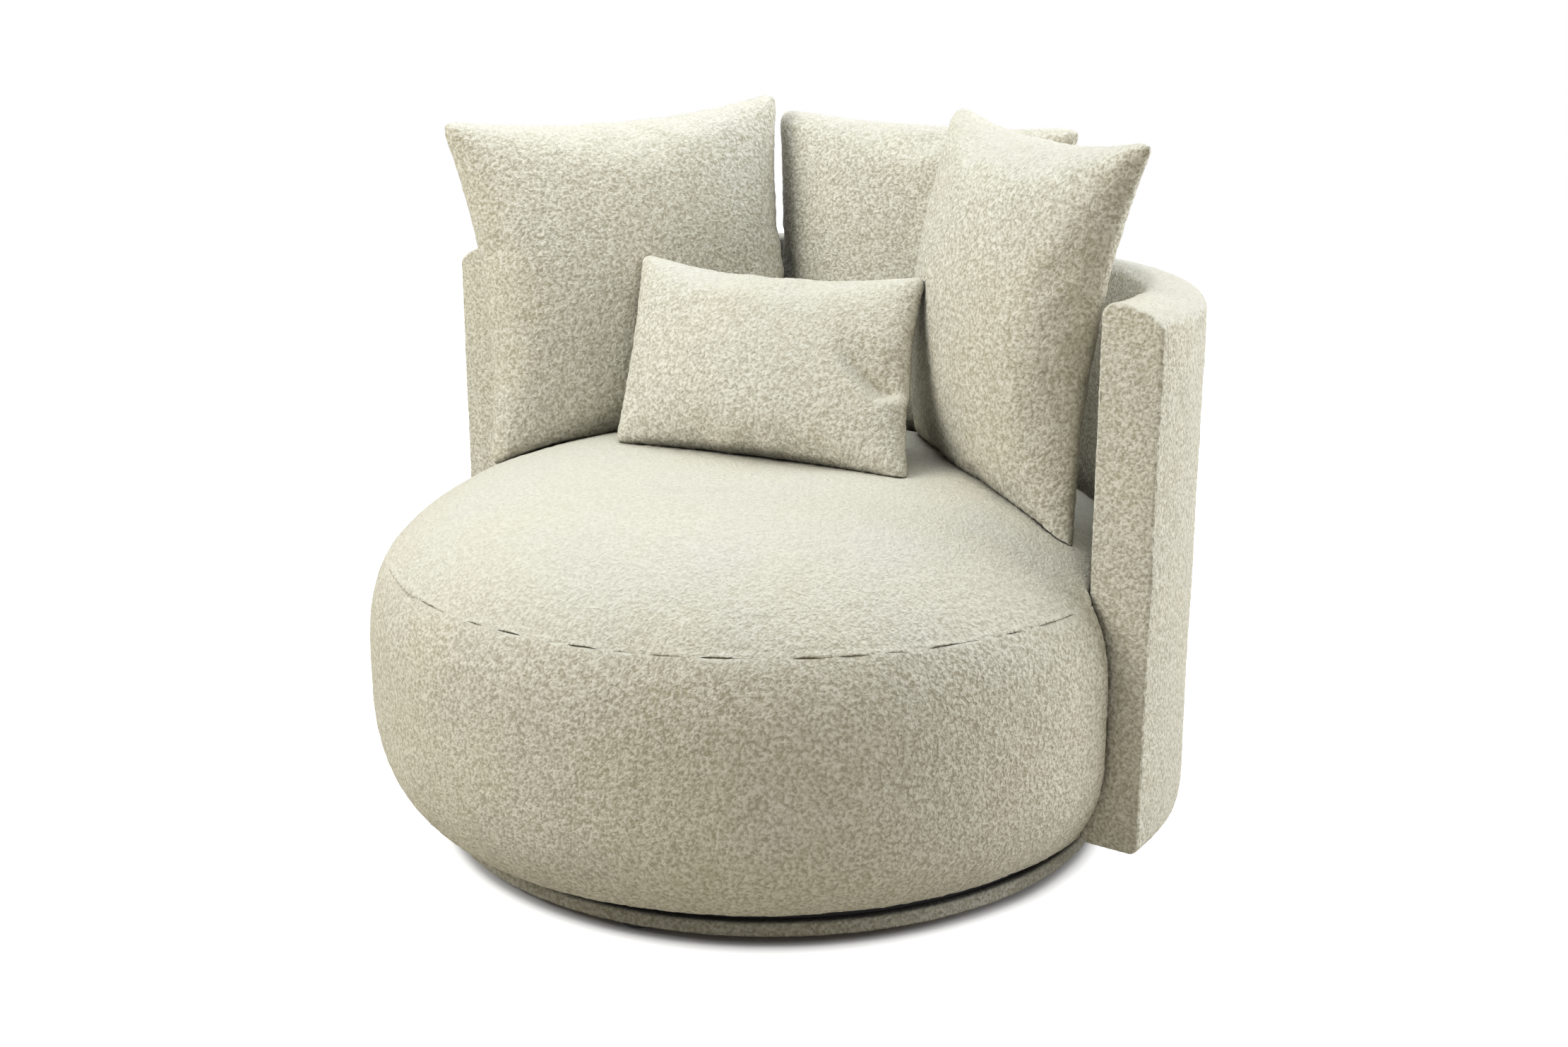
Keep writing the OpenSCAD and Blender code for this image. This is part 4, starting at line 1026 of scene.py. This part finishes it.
def cut_pillow(name, pillow):
    """The pillow before it is stuffed: two flat panels with a cloth modifier."""
    wide, tall = pillow["width"] * mm, pillow["height"] * mm
    u, v, side, faces = sewn_panels(round(wide / cloth_gap), round(tall / cloth_gap))
    crown = np.sqrt((1 - u ** 2) * (1 - v ** 2))
    z = side * (2 + 10 * crown) * mm
    flat = np.stack([wide / 2 * u, tall / 2 * v, z], axis=1)
    piece = new_piece(f"{name}_pillow", flat, faces, wool_boucle)
    cloth = piece.modifiers.new("stuffing", "CLOTH")
    for setting, value in {
            "quality": 5, "use_pressure": True, "uniform_pressure_force": pillow["stuffing"],
            "tension_stiffness": stretch_hold, "compression_stiffness": stretch_hold,
            "shear_stiffness": shear_hold, "bending_stiffness": pillow["stiffness"],
            "air_damping": air_hold}.items():
        setattr(cloth.settings, setting, value)
    cloth.settings.effector_weights.gravity = 0
    cloth.collision_settings.use_collision = False
    cloth.point_cache.frame_start = 1
    cloth.point_cache.frame_end = stuffing_steps
    return piece, u, v, side


def puffed(pillow, u, v, side):
    """A pillow's shape by formula: a soft crown and drawn in sides."""
    wide, tall, thick = pillow["width"] * mm, pillow["height"] * mm, pillow["thick"] * mm
    crown = ((1 - u ** 2) * (1 - v ** 2)) ** crown_exponent
    return np.stack([
        wide / 2 * u * (1 - drawn_in * (1 - v ** 2)), tall / 2 * v * (1 - drawn_in * (1 - u ** 2)),
        side * thick / 2 * crown], axis=1)


def points_of(piece):
    """The places of a mesh's points."""
    flat = np.zeros(len(piece.data.vertices) * 3)
    piece.data.vertices.foreach_get("co", flat)
    return flat.reshape(-1, 3)


def set_points(piece, points):
    """Moves a mesh's points."""
    piece.data.vertices.foreach_set("co", np.asarray(points, float).ravel())
    piece.data.update()


def fitted(shape, pillow, u, v, side):
    """A stuffed shape brought to the pillow's thickness, corners and sides, its seam a groove."""
    shape, plain = shape.copy(), puffed(pillow, u, v, side)
    corner = (np.abs(u) == 1) & (np.abs(v) == 1)
    for axis in (0, 1):
        shape[:, axis] *= (1 - evened) / np.abs(shape[corner, axis]).mean()
        shape[:, axis] += plain[:, axis] * evened / np.abs(plain[corner, axis]).mean()
    # Its own thickness, evened with a plain crown, and a part of its bend
    on_front = side >= 0
    rim = side[on_front] == 0
    top = shape[on_front, 2]
    under = top.copy()
    under[~rim] = shape[~on_front, 2]
    half = (top - under) / (top - under).max()
    crown = ((1 - u ** 2) * (1 - v ** 2))[on_front] ** crown_exponent
    half = evened * crown + (1 - evened) * half
    bend = bend_kept * ((top + under) / 2 - top[rim].mean())
    rise = np.concatenate([half * pillow["front"], half[~rim] * (pillow["front"] - 1)])
    rise *= pillow["thick"] * mm
    s, t = shape[:, 0], shape[:, 1]
    corners = np.array(pillow["corners"]) * mm
    left, right, high, low = (1 - s) / 2, (1 + s) / 2, (1 + t) / 2, (1 - t) / 2
    placed = np.stack([left * high, right * high, left * low, right * low], axis=1) @ corners
    for wanted, (axis, way) in zip(pillow["pulls"], ((0, -1), (0, 1), (1, 1), (1, -1))):
        along, across = (v, u) if axis else (u, v)
        edge = np.nonzero(along == way)[0]
        edge = edge[np.argsort(across[edge])]
        pulled = pillow["height" if axis else "width"] * mm / 2 * (1 - way * shape[edge, axis])
        spare = pulled - wanted * mm * (1 - np.abs(across[edge]) ** side_exponent)
        inward = straightened * np.interp(across, across[edge], spare)
        placed[:, axis] += way * inward * np.clip(way * along, 0, 1) ** 2
    near_rim = np.clip(rim_steepness * np.minimum(1 - np.abs(u), 1 - np.abs(v)), 0, 1)
    blunt = seam_blunt + ear_blunt * np.abs(u * v) ** ear_exponent
    placed[:, 2] += rise + np.concatenate([bend, bend[~rim]]) + side * blunt * near_rim
    past_u = np.clip((np.abs(u) - 1 + corner_round) / corner_round, 0, 1)
    past_v = np.clip((np.abs(v) - 1 + corner_round) / corner_round, 0, 1)
    cut_u = corner_round * past_u * (1 - np.sqrt(1 - past_v ** 2 / 2))
    cut_v = corner_round * past_v * (1 - np.sqrt(1 - past_u ** 2 / 2))
    for axis, at, cut_in, size in ((0, u, cut_u, pillow["width"]), (1, v, cut_v, pillow["height"])):
        placed[:, axis] -= np.sign(at) * cut_in * size * mm / 2
        placed[:, axis] -= np.where(np.abs(at) == 1, at * seam_groove, 0)
    return placed


# The fold in the lumbar pillow's front, from the pillow's middle: its line and reach, the hollow
# pressed in above it, the sharper dent along it and the slight swelling below
fold_x = np.array([100, 128, 157, 183, 215]) * mm
fold_y = np.array([4, -18, -46, -64, -62]) * mm
fold_start = 105 * mm
fold_deepens = 80 * mm
fold_end = 225 * mm
fold_fades = 35 * mm
hollow_deep = 32 * mm
hollow_high = 75 * mm
ledge_wide = 19 * mm
dent_deep = 4 * mm
dent_above = 15 * mm
dent_wide = 9 * mm
puff_high = 1 * mm
puff_below = 14 * mm
most_pressed = 0.8


def creased(points):
    """The lumbar pillow's points, its front pressed in at the right above a fold."""
    points = points.copy()
    across = np.clip((points[:, 0] - fold_start) / fold_deepens, 0, 1)
    reach = across ** 2 * (3 - 2 * across)
    reach *= np.clip((fold_end - points[:, 0]) / fold_fades, 0, 1)
    above = points[:, 1] - np.interp(points[:, 0], fold_x, fold_y)
    ledge = np.clip(above / ledge_wide, 0, 1)
    ledge = ledge ** 2 * (3 - 2 * ledge)
    pressed = hollow_deep * reach * ledge * np.clip(1 - above / hollow_high, 0, 1)
    dent = dent_deep * reach * np.exp(-((above - dent_above) / dent_wide) ** 2)
    puff = puff_high * reach * np.exp(-((above + puff_below) / puff_below) ** 2)
    height = np.maximum(points[:, 2], 0)
    points[:, 2] += puff * np.clip(height / (20 * mm), 0, 1)
    points[:, 2] -= np.minimum(pressed + dent, most_pressed * height)
    return points


def kept_clear(points):
    """Points pushed up onto the seat's dome and, below the shell's top, in from the shell."""
    points = points.copy()
    from_centre = np.hypot(points[:, 0], points[:, 1] - upper_y)
    most = shell_inner_r - clear_of_shell
    too_far = (from_centre > most) & (points[:, 1] > arm_face_y)
    pull = np.where(too_far, most / np.maximum(from_centre, 1e-6), 1)
    pull += (1 - pull) * np.clip((points[:, 2] - shell_high.z - free_above) / free_over, 0, 1)
    points[:, 0] *= pull
    points[:, 1] = upper_y + (points[:, 1] - upper_y) * pull
    floor_z = dome_height(np.minimum(from_centre, most)) + clear_of_seat
    points[:, 2] = np.maximum(points[:, 2], floor_z)
    return points


cut = {name: cut_pillow(name, pillow) for name, pillow in pillows.items()}
for step in range(1, stuffing_steps + 1):
    scene.frame_set(step)
for name, pillow in pillows.items():
    piece, u, v, side = cut[name]
    shape = points_of(piece.evaluated_get(bpy.context.evaluated_depsgraph_get()))
    piece.modifiers.clear()
    set_points(piece, fitted(shape, pillow, u, v, side))
    finer = piece.modifiers.new("finer", "SUBSURF")
    finer.levels = 2
    settle(piece)
    placed = points_of(piece)
    if name == "lumbar":
        placed = creased(placed)
    to_chair = np.array(pillow_place(pillow))
    points = kept_clear(placed @ to_chair[:3, :3].T + to_chair[:3, 3])
    set_points(piece, points)
    raise_pile(piece, np.ones(len(points)), sway=0.5)
    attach(piece, f"{name}_pillow")
    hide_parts(f"{name}_pillow_front", f"{name}_pillow_back", f"{name}_pillow_fill")
scene.frame_set(1)
